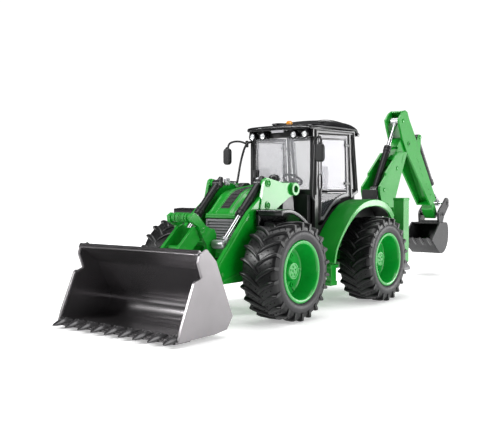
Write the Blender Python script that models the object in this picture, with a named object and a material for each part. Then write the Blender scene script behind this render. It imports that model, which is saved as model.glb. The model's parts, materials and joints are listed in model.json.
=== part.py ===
"""Toy backhoe loader, about 1:16, as separate jointed pieces.

Design lengths are millimetres and the helpers turn them into metres. Y is counted from the front axle, forward
is -Y, X grows towards the machine's left side and Z is the height over the ground. An empty called "vehicle"
carries every piece and shifts the machine so that its bounding box is centred on the world origin.
"""

import math

import bmesh
import bpy
from mathutils import Matrix, Vector

MM = 0.001
GAP = 0.35  # running gap between neighbouring pieces

# Driving dimensions
WHEELBASE = 183.0
WHEEL_R = 51.0
WHEEL_WIDTH = 43.0
TRACK_X = 71.5  # middle plane of a wheel
LUGS = 22
FRONT_AXLE_Y = -178.5  # world Y of the front axle, so the whole box is centred
SHARP = math.radians(35)

# Loader joints, as (y, z)
ARM_PIVOT = (58.0, 134.5)
BUCKET_PIVOT = (-87.0, 24.0)
LEVER_PIVOT = (-52.0, 61.0)
LEVER_LINK_PIN = (-66.0, 92.0)
TILT_RAM_BASE = (10.8, 140.3)
TILT_RAM_EYE = (-51.0, 78.5)
ARM_IN = 34.5
ARM_OUT = 39.0
CHEEK_IN = 37.0
CHEEK_OUT = 40.5
RAM_X = 29.0
LEVER_IN = 13.0
LEVER_OUT = 17.0
LINK_IN = 8.6
LINK_OUT = 12.4
BUCKET_HALF = 80.0
BUCKET_WALL = 2.4
FRONT_TEETH = 9
FRONT_TOOTH_PITCH = 18.5

# Backhoe joints, as (y, z)
SWING_Y = 272.0
BOOM_PIVOT = (326.0, 112.0)
ELBOW = (398.0, 204.0)
DIPPER_RAM_BASE = (317.0, 135.0)
DIPPER_RAM_EYE = (380.0, 236.5)
DIGGER_PIVOT = (503.0, 97.0)
DIGGER_RAM_EYE = (527.0, 114.6)
DIGGER_RAM_BASE = (448.0, 217.0)
EXTENSION_DIR = Vector((0.0, 0.611, -0.7917))
BOOM_IN = 12.4
BOOM_OUT = 15.2
DIPPER_IN = 9.2
DIPPER_OUT = 12.0
EXTENSION_HALF = 8.8
TOWER_HALF = 6.6
POST_HALF = 12.0
DIGGER_HALF = 23.0
REAR_TEETH = 4
REAR_TOOTH_PITCH = 12.4

# Cab, body and stabilisers
PILLAR_X = 44.5
DOOR_HINGE = (47.4, 168.6)  # (x, y) of the left door's hinge line
HOOD_HINGE = (80.0, 141.5)
HOOD_FRONT_X = 20.8
HOOD_REAR_X = 23.6
MIRROR_HINGE = (49.5, 88.5)
DOOR_IN = 44.7
DOOR_OUT = 46.7
LIGHT_X = (22.2, 37.6)
STEER_CENTRE = (0.0, 114.0, 146.0)
STEER_TILT = math.radians(-32)
STEER_R = 11.5
EXHAUST = (-28.2, 79.2)
STABILISER_X = 75.0
STABILISER_Y = 249.8
KINGPIN_X = 44.2
FENDER_IN = 45.0
FENDER_OUT = 75.0


# ---------------------------------------------------------------- scene, materials and basic solids

def clear_scene():
    for obj in list(bpy.data.objects):
        bpy.data.objects.remove(obj, do_unlink=True)


def make_material(name, colour, roughness, metallic=0.0, alpha=1.0):
    mat = bpy.data.materials.new(name)
    mat.use_nodes = True
    shader = mat.node_tree.nodes["Principled BSDF"]
    shader.inputs["Base Color"].default_value = (*colour, 1.0)
    shader.inputs["Roughness"].default_value = roughness
    shader.inputs["Metallic"].default_value = metallic
    shader.inputs["Alpha"].default_value = alpha
    mat.diffuse_color = (*colour, alpha)
    return mat


COLOURS = {
    "green": ((0.0, 0.27, 0.05), 0.32, 0.0, 1.0),
    "black": ((0.012, 0.012, 0.013), 0.4, 0.0, 1.0),
    "grey": ((0.17, 0.17, 0.18), 0.5, 0.0, 1.0),
    "gunmetal": ((0.12, 0.115, 0.12), 0.42, 0.3, 1.0),
    "tyre": ((0.02, 0.02, 0.021), 0.75, 0.0, 1.0),
    "silver": ((0.62, 0.62, 0.64), 0.25, 1.0, 1.0),
    "glass": ((0.9, 0.93, 0.95), 0.05, 0.0, 0.3),
    "amber": ((0.9, 0.35, 0.03), 0.25, 0.0, 1.0),
    "lamp": ((0.85, 0.85, 0.87), 0.2, 0.0, 1.0),
}


def new_object(name, bm):
    bmesh.ops.recalc_face_normals(bm, faces=bm.faces)
    mesh = bpy.data.meshes.new(name)
    bm.to_mesh(mesh)
    bm.free()
    obj = bpy.data.objects.new(name, mesh)
    bpy.context.scene.collection.objects.link(obj)
    return obj


def loft(rings):
    """A closed solid through rings of points (mm), all with the same count."""
    bm = bmesh.new()
    layers = [[bm.verts.new(Vector(p) * MM) for p in ring] for ring in rings]
    for low, high in zip(layers, layers[1:]):
        count = len(low)
        for i in range(count):
            j = (i + 1) % count
            bm.faces.new((low[i], low[j], high[j], high[i]))
    bm.faces.new(layers[0])
    bm.faces.new(layers[-1])
    return new_object("solid", bm)


def side_plate(outline, x0, x1):
    """An outline in (y, z), extruded from x0 to x1."""
    return loft([[(x, y, z) for y, z in outline] for x in (x0, x1)])


def front_plate(outline, y0, y1):
    """An outline in (x, z), extruded from y0 to y1."""
    return loft([[(x, y, z) for x, z in outline] for y in (y0, y1)])


def floor_plate(outline, z0, z1):
    """An outline in (x, y), extruded from z0 to z1."""
    return loft([[(x, y, z) for x, y in outline] for z in (z0, z1)])


def box(x0, x1, y0, y1, z0, z1):
    return side_plate([(y0, z0), (y1, z0), (y1, z1), (y0, z1)], x0, x1)


def span(side, inner, outer):
    """The X limits of something between inner and outer on one side of the machine, lower one first."""
    return sorted((side * inner, side * outer))


def bar(start, end, radius, sides=10, end_radius=None):
    """A round bar between two points, straight or tapered."""
    a = Vector(start)
    b = Vector(end)
    turn = (b - a).to_track_quat("Z", "X").to_matrix()
    rings = []
    for centre, r in ((a, radius), (b, radius if end_radius is None else end_radius)):
        ring = []
        for i in range(sides):
            angle = 2 * math.pi * (i + 0.5) / sides
            ring.append(centre + turn @ Vector((r * math.cos(angle), r * math.sin(angle), 0)))
        rings.append(ring)
    return loft(rings)


def pin(centre, x0, x1, radius, sides=12):
    """A round bar along X at centre (y, z)."""
    return bar((x0, *centre), (x1, *centre), radius, sides)


def beam(start, end, width, height, up=(1, 0, 0)):
    """A rectangular bar between two points; height is measured along up."""
    a = Vector(start)
    b = Vector(end)
    lift = Vector(up).normalized() * height / 2
    side = (b - a).cross(lift).normalized() * width / 2
    rings = [[c - side - lift, c + side - lift, c + side + lift, c - side + lift] for c in (a, b)]
    return loft(rings)


def turned(profile, centre, segments):
    """A closed profile of (x, radius) turned about the X axis through centre (mm)."""
    bm = bmesh.new()
    rings = []
    for i in range(segments):
        angle = 2 * math.pi * i / segments
        ring = []
        for x, r in profile:
            ring.append(bm.verts.new(Vector((x, r * math.sin(angle), -r * math.cos(angle))) * MM))
        rings.append(ring)
    count = len(profile)
    for i in range(segments):
        a = rings[i]
        b = rings[(i + 1) % segments]
        for j in range(count):
            k = (j + 1) % count
            bm.faces.new((a[j], a[k], b[k], b[j]))
    obj = new_object("turned", bm)
    obj.data.transform(Matrix.Translation(Vector(centre) * MM))
    return obj


def arc(centre, radius, start, end, steps):
    """Points in a plane on an arc; angles in degrees."""
    points = []
    for i in range(steps + 1):
        angle = math.radians(start + (end - start) * i / steps)
        points.append((centre[0] + radius * math.cos(angle), centre[1] + radius * math.sin(angle)))
    return points


def smooth_line(points, steps):
    """A Catmull-Rom line through the points."""
    padded = [points[0], *points, points[-1]]
    line = []
    for i in range(1, len(padded) - 2):
        p0, p1, p2, p3 = (Vector((*p, 0)) for p in padded[i - 1:i + 3])
        for j in range(steps):
            t = j / steps
            q = 0.5 * (2 * p1 + (p2 - p0) * t + (2 * p0 - 5 * p1 + 4 * p2 - p3) * t ** 2
                       + (3 * p1 - p0 - 3 * p2 + p3) * t ** 3)
            line.append((q.x, q.y))
    line.append(tuple(points[-1]))
    return line


def strip(line, thickness):
    """A closed outline: the line and the same line pushed sideways by thickness."""
    back = []
    for i, point in enumerate(line):
        before = Vector(line[max(i - 1, 0)])
        after = Vector(line[min(i + 1, len(line) - 1)])
        run = (after - before).normalized()
        back.append((point[0] + run.y * thickness, point[1] - run.x * thickness))
    return list(line) + back[::-1]


def boolean(base, tools, operation):
    for tool in tools:
        step = base.modifiers.new(operation, "BOOLEAN")
        step.operation = operation
        step.solver = "EXACT"
        step.object = tool
    bpy.context.view_layer.update()
    graph = bpy.context.evaluated_depsgraph_get()
    mesh = bpy.data.meshes.new_from_object(base.evaluated_get(graph))
    base.modifiers.clear()
    base.data = mesh
    for tool in tools:
        bpy.data.objects.remove(tool, do_unlink=True)
    return base


def fuse(pieces, holes=()):
    base = pieces[0]
    if len(pieces) > 1:
        boolean(base, pieces[1:], "UNION")
    if holes:
        boolean(base, list(holes), "DIFFERENCE")
    return base


def mirrored(obj):
    """The same solid reflected to the other side of the machine."""
    mesh = obj.data.copy()
    mesh.transform(Matrix.Scale(-1, 4, (1, 0, 0)))
    mesh.flip_normals()
    copy = bpy.data.objects.new(obj.name + "_mirror", mesh)
    bpy.context.scene.collection.objects.link(copy)
    return copy


def finish(obj, name, colour, origin=(0.0, 0.0, 0.0)):
    """Names a piece, gives it its material and puts its origin on its joint."""
    obj.name = name
    mesh = obj.data
    mesh.name = name
    mesh.transform(Matrix.Translation(Vector(origin) * -MM))
    mesh.materials.clear()
    mesh.materials.append(make_material(name, *COLOURS[colour]))
    mesh.shade_smooth()
    mesh.set_sharp_from_angle(angle=SHARP)
    obj.location = Vector(origin) * MM
    obj.parent = bpy.data.objects["vehicle"]
    return obj


def finish_pair(obj, name, colour, origin=(0.0, 0.0, 0.0)):
    """Finishes a left piece and its mirrored right one."""
    other = mirrored(obj)
    finish(obj, name + "_left", colour, origin)
    finish(other, name + "_right", colour, (-origin[0], origin[1], origin[2]))


# ---------------------------------------------------------------- chassis and running gear

def make_chassis():
    spine = side_plate(
        [(-12, 66), (-18, 72), (60, 72), (86, 76), (212, 76), (232, 84), (232, 44), (205, 36),
         (165, 36), (150, 24), (100, 24), (60, 34), (24, 44), (14, 60.5), (-12, 60.5)], -22, 22)
    axle = pin((WHEELBASE, WHEEL_R), -48, 48, 8)
    shaft = pin((WHEELBASE, WHEEL_R), -76, 76, 3)
    pieces = [spine, axle, shaft]
    for side in (-1, 1):
        pieces.append(box(*span(side, 10, 61), 103, 117, 24, 29))
        pieces.append(box(*span(side, 10, 61), 103, 120, 44.5, 48))
        pieces.append(box(*span(side, 54, 61), 104, 115, 27, 46))
    finish(fuse(pieces), "chassis_frame", "green")


def make_engine():
    block = box(-15, 15, -6, 62, 72.4, 100)
    head = box(-11, 11, -2, 54, 98, 112)
    fan = bar((0, -10, 88), (0, -5, 88), 12, 12)
    finish(fuse([block, head, fan]), "engine_block", "grey")


def make_grille():
    plate = box(-20, 20, -19.5, -15, 72.4, 102.6)
    slots = [box(-17, 17, -21, -17.5, z, z + 1.6) for z in (76, 80, 84, 88, 92, 96)]
    finish(fuse([plate], slots), "radiator_grille", "grey")


def make_front_axle():
    beam_body = box(-39, 39, -7, 7, 44, 58)
    pivot = box(-8, 8, -9, 9, 50, 60.1)
    pieces = [beam_body, pivot]
    holes = []
    for side in (-1, 1):
        for z0, z1 in ((60.4, 63.5), (38.5, 41.6)):
            pieces.append(box(*span(side, 35, KINGPIN_X + 4), -5, 5, z0, z1))
        pieces.append(box(*span(side, 34.5, 38.8), -6, 6, 38.5, 63.5))
        holes.append(bar((side * KINGPIN_X, 0, 36), (side * KINGPIN_X, 0, 66), 2.6, 12))
    finish(fuse(pieces, holes), "front_axle_beam", "black")


def make_knuckles():
    body = box(40, 48.6, -4.5, 4.5, 42, 60)
    king = bar((KINGPIN_X, 0, 39), (KINGPIN_X, 0, 63), 2.2, 12)
    stub = pin((0, WHEEL_R), 48, 76, 3)
    collar = pin((0, WHEEL_R), 48, 55, 6)
    finish_pair(fuse([body, king, stub, collar]), "steering_knuckle", "black", (KINGPIN_X, 0, WHEEL_R))


def tyre_profile(tip_out, tip_in):
    """Half the section outwards, half inwards; the two tread rows have their own lug heights."""
    half = WHEEL_WIDTH / 2
    tread = 46.5
    outer = WHEEL_R if tip_out else tread
    inner = WHEEL_R if tip_in else tread
    return [(-18.6, 29.9), (-18.6, 32.3), (-half, 38.5), (-20.8, 43.5), (-20.6, inner), (20.6, outer),
            (20.8, 43.5), (half, 38.5), (18.6, 32.3), (18.6, 29.9)]


def make_tyre(name, x, y):
    segments = 2 * LUGS
    bm = bmesh.new()
    rings = []
    for i in range(segments):
        angle = 2 * math.pi * i / segments
        profile = tyre_profile(i % 2 == 0, i % 2 == 1)
        ring = []
        for px, r in profile:
            flip = px if x > 0 else -px
            ring.append(bm.verts.new(Vector((flip, r * math.sin(angle), -r * math.cos(angle))) * MM))
        rings.append(ring)
    count = len(rings[0])
    for i in range(segments):
        a = rings[i]
        b = rings[(i + 1) % segments]
        for j in range(count):
            k = (j + 1) % count
            bm.faces.new((a[j], a[k], b[k], b[j]))
    tyre = new_object(name, bm)
    tyre.data.transform(Matrix.Translation(Vector((x, y, WHEEL_R)) * MM))
    finish(tyre, name, "tyre", (x, y, WHEEL_R))


def make_rim(name, x, y):
    side = 1 if x > 0 else -1
    barrel = [(-21, 31.85), (-19, 31.85), (-18.9, 29.5), (18.9, 29.5), (19, 31.85), (21, 31.85),
              (20.2, 28), (3, 25.5), (1.5, 9), (10.5, 8.7), (10.5, 3.3), (-10, 3.3), (-10, 8),
              (-3, 9.5), (-4, 25.5)]
    profile = [(side * px, r) for px, r in barrel]
    hub = turned(profile, (x, y, WHEEL_R), 20)
    cap = pin((y, WHEEL_R), x + side * 8.5, x + side * 10.5, 4, 20)
    rim = fuse([hub, cap])
    finish(rim, name, "green", (x, y, WHEEL_R))


def make_wheels():
    for end, y in (("front", 0.0), ("rear", WHEELBASE)):
        for side_name, x in (("left", TRACK_X), ("right", -TRACK_X)):
            make_rim(f"rim_{end}_{side_name}", x, y)
            make_tyre(f"tyre_{end}_{side_name}", x, y)


# ---------------------------------------------------------------- bodywork

def make_hood():
    crown = [(-14, 111.5), (6, 129), (14, 133), (30, 136), (60, 140)]
    outer = [(-19.4, 103.2), (-19.4, 107.9), *crown, (80, 142.5), (80, 104), (20, 103.2)]
    under_crown = [(y + 1, z - 3) for y, z in crown]
    inner = [(-16.5, 101), (-16.5, 106.5), *under_crown, (84, 139.8), (84, 101)]
    shell = side_plate(outer, -HOOD_REAR_X, HOOD_REAR_X)
    trims = []
    for side in (-1, 1):
        wedge = [(side * 30, -30), (side * HOOD_FRONT_X, -30), (side * HOOD_FRONT_X, -12),
                 (side * (HOOD_REAR_X + 0.5), 16), (side * 30, 16)]
        trims.append(floor_plate(wedge, 95, 150))
    boolean(shell, trims, "DIFFERENCE")
    strip_line = [(-12, 110), *[(y, z + 1.2) for y, z in crown[1:]], (76, 143), (76, 138), (12, 128)]
    centre = side_plate(strip_line, -8.5, 8.5)
    hood = fuse([shell, centre], [side_plate(inner, -18.5, 18.5)])
    finish(hood, "hood", "green", (0, *HOOD_HINGE))


def front_fender_line():
    return smooth_line([(-12, 112.6), (4, 113.2), (20, 108.6), (35, 99.8), (47, 88)], 2)


def make_front_fenders():
    skin = side_plate(strip(front_fender_line(), 2.6), 42, FENDER_OUT)
    wall = side_plate([(-12, 95), (-12, 111), (4, 111), (20, 107), (35, 98), (46, 88), (40, 86)], 42, 44.4)
    hook = beam((43.2, 40, 90.5), (43.2, 84.2, 90.5), 7, 2.4)
    finish_pair(fuse([skin, wall, hook]), "front_fender", "black")


def rear_fender_line():
    return smooth_line([(88, 52), (93, 68), (105, 84), (120, 99), (136, 111), (154, 119), (176, 122.5),
                        (198, 121), (218, 114), (232, 102)], 2)


def make_rear_fenders():
    line = rear_fender_line()
    skin = side_plate(strip(line, 3.2), FENDER_IN, FENDER_OUT)
    under = [(226, 92), (214, 92), (200, 78), (166, 78), (128, 78), (118, 62), (108, 52)]
    web = side_plate([*line, *under], FENDER_IN, 48.6)
    cut = pin((WHEELBASE, WHEEL_R), 48.65, 90, WHEEL_R + 2.5, 32)
    finish_pair(fuse([skin, web], [cut]), "rear_fender", "green")


def make_towers():
    post = side_plate([(42, 76.4), (50, 139), (54, 142), (62, 142), (66, 139), (74, 76.4)], 25, 33.6)
    stub = pin(ARM_PIVOT, 33, 41, 3.6)
    foot = box(22.4, 33.6, 44, 82, 76.4, 82)
    hook = box(22.4, 33.6, 76, 84.2, 76.4, 90)
    finish_pair(fuse([post, stub, foot, hook]), "loader_tower", "black")


def make_cab_tub():
    floor = box(-44.5, 44.5, 84.6, 188, 76.4, 82)
    front = box(-41, 41, 84.6, 91, 76.4, 128)
    rear = box(-42.2, 42.2, 183.5, 188, 76.4, 130)
    side_walls = []
    wall = [(99, 80), (99, 93), (110, 93), (122, 102), (134, 110.5), (150, 117), (172, 121), (185, 121),
            (185, 80)]
    for side in (-1, 1):
        side_walls.append(side_plate(wall, *span(side, 41.5, PILLAR_X)))
    dash = side_plate([(90, 112), (90, 128), (100, 128), (106, 123), (106, 112)], -30, 30)
    seat_base = box(-12, 12, 146, 172, 80, 108)
    finish(fuse([floor, front, rear, *side_walls, dash, seat_base]), "cab_tub", "black")


def make_cab_frame():
    pieces = []
    for side in (-1, 1):
        x = side * PILLAR_X
        pieces.append(beam((x, 95.3, 82.5), (x, 95.3, 203), 6.4, 4))
        pieces.append(beam((x, 187.2, 131.5), (x, 177, 203), 5, 4))
        pieces.append(beam((x, 174, 125.5), (x, 168.5, 203), 3, 4))
        pieces.append(beam((x, 92.2, 201), (x, 179, 203.5), 4, 4))
        pieces.append(beam((x, 172.6, 126), (x, 189, 132.5), 3.2, 4))
    for y, z in ((94.6, 199), (178.5, 201.5)):
        pieces.append(box(-46.5, 46.5, y - 2.4, y + 2.4, z - 4, z + 4))
    pieces.append(box(-46.5, 46.5, 92.2, 97, 128.6, 133.5))
    pieces.append(box(-46.5, 46.5, 184.6, 189.4, 131.4, 135.4))
    finish(fuse(pieces), "cab_frame", "black")


def make_roof():
    def section(y, half, low, high):
        mid = (low + 3 + high) / 2
        right = [(half, y, low), (half, y, low + 3), (half - 7, y, mid), (16, y, high)]
        return right + [(-x, py, z) for x, py, z in reversed(right)]

    rings = [section(84, 45, 203.6, 207.2), section(91, 48, 205.3, 209.5), section(112, 49, 205.3, 211),
             section(127, 49, 205.6, 216), section(145, 49, 205.8, 219), section(172, 48.5, 205.9, 219),
             section(188, 46, 205.9, 213), section(197, 42, 202, 205.5)]
    finish(loft(rings), "cab_roof", "black")


def make_work_lights():
    cap = 4.6
    pieces = [box(17, 46, 88, 91.8, 194, 204)]
    for x in LIGHT_X:
        pieces.append(bar((x, 90, 197), (x, 84, 197), cap, 14, cap - 0.6))
    finish_pair(fuse(pieces), "work_lights", "lamp")


def make_beacon():
    base = bar((0, 107, 211.3), (0, 107, 212.6), 4.4, 14)
    dome = bar((0, 107, 212.2), (0, 107, 216), 3.8, 14, 2.8)
    finish(fuse([base, dome]), "beacon", "amber")


def make_windows():
    front = [(-41.8, 134), (41.8, 134), (41.8, 194.6), (-41.8, 194.6)]
    finish(front_plate(front, 93.2, 95), "windscreen", "glass")
    rear = side_plate([(185.5, 135.8), (187.3, 135.8), (178.9, 197), (177.1, 197)], -41.8, 41.8)
    finish(rear, "rear_window", "glass")


def window_outline(gap=0.0):
    """The door's window, made smaller all round by gap."""
    return [(103.2 + gap, 132 + gap), (162.5 - gap, 132 + gap), (159.5 - gap, 195.6 - gap),
            (103.2 + gap, 193.6 - gap)]


def make_doors():
    bottom = smooth_line([(110, 98.3), (122, 108.8), (134, 117.4), (150, 123.7), (168, 126.3)], 2)
    outline = [(99.2, 98.3), *bottom, (163.6, 200), (99.2, 197.5)]
    leaf = side_plate(outline, DOOR_IN, DOOR_OUT)
    window = side_plate(window_outline(), DOOR_IN - 5, DOOR_OUT + 3)
    hinges = [box(45.2, 48.2, 160, 167.4, z, z + 4) for z in (140, 186)]
    origin = (*DOOR_HINGE, 160)
    finish_pair(fuse([leaf, *hinges], [window]), "door", "black", origin)
    pane = side_plate(window_outline(GAP), DOOR_IN + 0.4, DOOR_OUT - 0.4)
    finish_pair(pane, "door_glass", "glass", origin)


def make_mirrors():
    x, y = MIRROR_HINGE
    bracket = bar((x, y, 186), (x, y, 193), 1.8, 10)
    route = [(x, y, 189.5), (57, 82, 192.5), (64, 76, 191), (66.5, 73.5, 186.5), (66.5, 73, 180)]
    pieces = [bracket]
    for a, b in zip(route, route[1:]):
        pieces.append(bar(a, b, 1.3, 8))
    head = floor_plate([(61, 69.5), (71.5, 69.5), (71, 74.5), (61.5, 74.5)], 164.5, 184)
    finish_pair(fuse([head, *pieces]), "mirror", "black", (x, y, 188))


def make_exhaust():
    pipe = bar((*EXHAUST, 92), (*EXHAUST, 157.5), 3.6, 12)
    muffler = bar((*EXHAUST, 100), (*EXHAUST, 128), 4.2, 12)
    finish(fuse([muffler, pipe]), "exhaust_stack", "black")


def make_seat():
    cushion = box(-13, 13, 142, 172, 108.4, 116)
    back = side_plate([(166, 112), (174, 112), (180, 156), (174, 166), (168, 164)], -12, 12)
    finish(fuse([cushion, back]), "driver_seat", "black")


def make_steering_wheel():
    tube = 1.5
    sides = 20
    bm = bmesh.new()
    rings = []
    for i in range(sides):
        a = 2 * math.pi * i / sides
        ring = []
        for j in range(6):
            b = 2 * math.pi * j / 6
            r = STEER_R + tube * math.cos(b)
            ring.append(bm.verts.new(Vector((r * math.cos(a), r * math.sin(a), tube * math.sin(b))) * MM))
        rings.append(ring)
    for i in range(sides):
        for j in range(6):
            k = (j + 1) % 6
            bm.faces.new((rings[i][j], rings[i][k], rings[(i + 1) % sides][k], rings[(i + 1) % sides][j]))
    wheel = new_object("steering", bm)
    spokes = []
    for degrees in (30, 150, 270):
        a = math.radians(degrees)
        spokes.append(bar((0, 0, -1), (STEER_R * math.cos(a), STEER_R * math.sin(a), 0), 1.1, 6))
    hub = bar((0, 0, -6), (0, 0, 1.4), 3, 12)
    wheel = fuse([hub, *spokes, wheel])
    tilt = Matrix.Rotation(STEER_TILT, 4, "X")
    wheel.data.transform(Matrix.Translation(Vector(STEER_CENTRE) * MM) @ tilt)
    finish(wheel, "steering_wheel", "black", STEER_CENTRE)


# ---------------------------------------------------------------- front loader

def make_arms():
    side_shape = [(2, 126), (-20, 110), (-66, 62), (-80, 40), (-93, 27.5), (-93.5, 22), (-90, 17.5),
                  (-84, 17.5), (-66, 40), (-28, 40), (14, 105), (22, 114), (16, 128)]
    cheek = [*arc((10.8, 140.3), 6, 60, 180, 3), (-2, 114), (4, 106), (16, 106), (28, 114), (50, 125.5),
             (58, 127.5), (63, 129.5), (65, 134.5), (63, 139.5), (58, 141.5), (38, 141)]
    lug = [(-52, 46), (-42, 46), (-46, 61), (-48.5, 66), (-55.5, 66), (-58, 61)]
    pieces = []
    holes = []
    for side in (-1, 1):
        pieces.append(side_plate(side_shape, *span(side, ARM_IN, ARM_OUT)))
        pieces.append(side_plate(cheek, *span(side, CHEEK_IN, CHEEK_OUT)))
        pieces.append(pin(ARM_PIVOT, *span(side, ARM_IN, 43.8), 7, 14))
        pieces.append(pin(TILT_RAM_BASE, *span(side, 34, 38), 4.6, 12))
        pieces.append(side_plate(lug, *span(side, LINK_IN, LINK_OUT)))
        holes.append(pin(ARM_PIVOT, *span(side, 30, 45), 4.0, 14))
        holes.append(pin(BUCKET_PIVOT, *span(side, 30, 44), 3.3, 12))
        holes.append(pin(LEVER_PIVOT, *span(side, 6, 20), 2.6, 12))
    pieces.append(pin((-47, 50), -36, 36, 5.5, 12))
    finish(fuse(pieces, holes), "loader_arms", "green", (0, *ARM_PIVOT))


def make_tilt_lever():
    plate = [(-56, 58), (-48, 58), (-46.5, 66), (-44.5, 78), (-45, 88), (-48, 93.5), (-55, 94.5), (-62, 98),
             (-71, 107), (-77, 110.5), (-82, 107.5), (-81, 101.5), (-72, 97), (-66, 86.5), (-60, 78),
             (-57.5, 66)]
    pieces = []
    for side in (-1, 1):
        pieces.append(side_plate(plate, *span(side, LEVER_IN, LEVER_OUT)))
        pieces.append(pin(LEVER_PIVOT, *span(side, 8, 16), 2.2, 10))
    pieces.append(pin((-77, 105.5), -15, 15, 4, 12))
    for i in range(5):
        x = -8 + 4 * i
        pieces.append(pin((-77, 105.5), x - 1, x + 1, 5, 12))
    pieces.append(pin(TILT_RAM_EYE, -15, 15, 2.4, 12))
    finish(fuse(pieces), "tilt_lever", "green", (0, *LEVER_PIVOT))


def make_tilt_link():
    plate = [(-61, 86), (-61.5, 95), (-68, 98.5), (-74, 96), (-92, 80), (-107.5, 66), (-108, 58), (-103, 56),
             (-82, 68)]
    pieces = []
    for side in (-1, 1):
        pieces.append(side_plate(plate, *span(side, LINK_IN, LINK_OUT)))
    pieces.append(pin((-87, 75.5), -10, 10, 3, 12))
    finish(fuse(pieces), "tilt_link", "green", (0, *LEVER_LINK_PIN))


def bucket_side():
    return [(-131, 81), (-118.4, 69.5), (-95.6, 17.9), (-103.7, 6.8), (-120.3, 4.6), (-167.2, 4.0),
            (-163.3, 16.6), (-147.6, 52.6), (-137.8, 56), (-142.6, 69.6), (-140.2, 77.2)]


def make_front_bucket():
    wall = [(-141.5, 78), (-118.6, 63.5), (-102.6, 28), *arc((-117.2, 22), 18, 8, -90, 6), (-167.5, 4.0)]
    pieces = [side_plate(strip(wall, BUCKET_WALL), -BUCKET_HALF, BUCKET_HALF)]
    lip = [(-170, 3.4), (-158, 3.4), (-158, 7), (-166, 7)]
    pieces.append(side_plate(lip, -BUCKET_HALF, BUCKET_HALF))
    for i in range(FRONT_TEETH):
        x = FRONT_TOOTH_PITCH * (i - (FRONT_TEETH - 1) / 2)
        tooth = loft([[(x - 4, -162, 3.2), (x + 4, -162, 3.2), (x + 4, -162, 9), (x - 4, -162, 9)],
                      [(x - 2.6, -178, 3.2), (x + 2.6, -178, 3.2), (x + 2.6, -178, 4.6), (x - 2.6, -178, 4.6)]])
        pieces.append(tooth)
    lug = [(-106.2, 34), (-88, 31), (-81.5, 27), (-81.5, 21), (-86, 17.5), (-101, 12), (-100.4, 20)]
    for side in (-1, 1):
        pieces.append(side_plate(bucket_side(), *span(side, 78.8, 81.2)))
        pieces.append(side_plate(lug, *span(side, 29.4, 34.1)))
        pieces.append(pin(BUCKET_PIVOT, *span(side, 31, 42.5), 3, 12))
    tongue = [(-119.4, 62.5), (-106, 66), (-99.5, 64.5), (-98.5, 59), (-102, 56), (-113, 48)]
    pieces.append(side_plate(tongue, -8, 8))
    finish(fuse(pieces), "front_bucket", "gunmetal", (0, *BUCKET_PIVOT))


def along(start, end, distance):
    a = Vector(start)
    b = Vector(end)
    return a + (b - a).normalized() * distance


def ram_barrel(base, eye, x, radius, length, rod_bore, eye_half):
    """A ram's tube with its base eye, bored from the open end."""
    a = Vector((x, *base))
    b = Vector((x, *eye))
    tube = bar(along(a, b, 3), along(a, b, length), radius, 12)
    collar = bar(along(a, b, length - 7), along(a, b, length), radius + 0.8, 12)
    knuckle = pin(base, x - eye_half, x + eye_half, radius + 0.2, 12)
    bore = bar(along(a, b, 14), along(a, b, length + 4), rod_bore, 12)
    return fuse([tube, collar, knuckle], [bore])


def ram_rod(base, eye, x, radius, start, eye_radius, eye_half, inward=0.0):
    """A ram's rod with its end eye; a short stub may stand inwards."""
    a = Vector((x, *base))
    b = Vector((x, *eye))
    rod = bar(along(a, b, start), b, radius, 12)
    end = pin(eye, x - eye_half - inward, x + eye_half, eye_radius, 12)
    return fuse([rod, end])


def make_tilt_rams():
    barrel = ram_barrel(TILT_RAM_BASE, TILT_RAM_EYE, RAM_X, 4.4, 48, 3.2, 4.6)
    finish_pair(barrel, "tilt_ram_barrel", "black", (RAM_X, *TILT_RAM_BASE))
    rod = ram_rod(TILT_RAM_BASE, TILT_RAM_EYE, RAM_X, 2.8, 28, 4.6, 5, 5.5)
    finish_pair(rod, "tilt_ram_rod", "silver", (RAM_X, *TILT_RAM_EYE))


# ---------------------------------------------------------------- backhoe

def make_backhoe_frame():
    pieces = []
    holes = []
    for z0, z1 in ((58, 66), (104, 112)):
        pieces.append(box(-69, 69, 240.2, 247, z0, z1))
    pieces.append(box(-24, 24, 232.4, 240.6, 46, 84))
    for x in (-60, 60):
        pieces.append(box(x - 5, x + 5, 240, 247, 60, 110))
    for x in (-22, 22):
        pieces.append(box(x - 4, x + 4, 236, 241.5, 60, 111))
    for side in (-1, 1):
        x = side * STABILISER_X
        pieces.append(box(x - 7, x + 7, STABILISER_Y - 7.5, STABILISER_Y + 7.5, 42, 123.5))
        holes.append(box(x - 5, x + 5, STABILISER_Y - 5.5, STABILISER_Y + 5.5, 38, 120.5))
    finish(fuse(pieces, holes), "backhoe_frame", "green")


def make_stabilisers():
    leg = box(STABILISER_X - 4.6, STABILISER_X + 4.6, STABILISER_Y - 5.1, STABILISER_Y + 5.1, 38, 112)
    foot = loft([[(STABILISER_X - h, STABILISER_Y - h, z), (STABILISER_X + h, STABILISER_Y - h, z),
                  (STABILISER_X + h, STABILISER_Y + h, z), (STABILISER_X - h, STABILISER_Y + h, z)]
                 for h, z in ((9, 32), (9, 35), (6, 40.5))])
    finish_pair(fuse([leg, foot]), "stabiliser", "grey", (STABILISER_X, STABILISER_Y, 36))


def make_carriage():
    plate = box(-22, 22, 247.4, 252, 54, 116)
    pieces = [plate, box(-22, 22, 241, 250, 112.4, 116), box(-22, 22, 241, 250, 54, 57.6)]
    for z0, z1 in ((62, 69), (100, 107)):
        nose = arc((0, SWING_Y), 10.5, 0, 180, 7)
        pieces.append(floor_plate([(-11, 250), (11, 250), *nose], z0, z1))
    hole = bar((0, SWING_Y, 58), (0, SWING_Y, 112), 3.4, 12)
    finish(fuse(pieces, [hole]), "carriage", "black")


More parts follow.
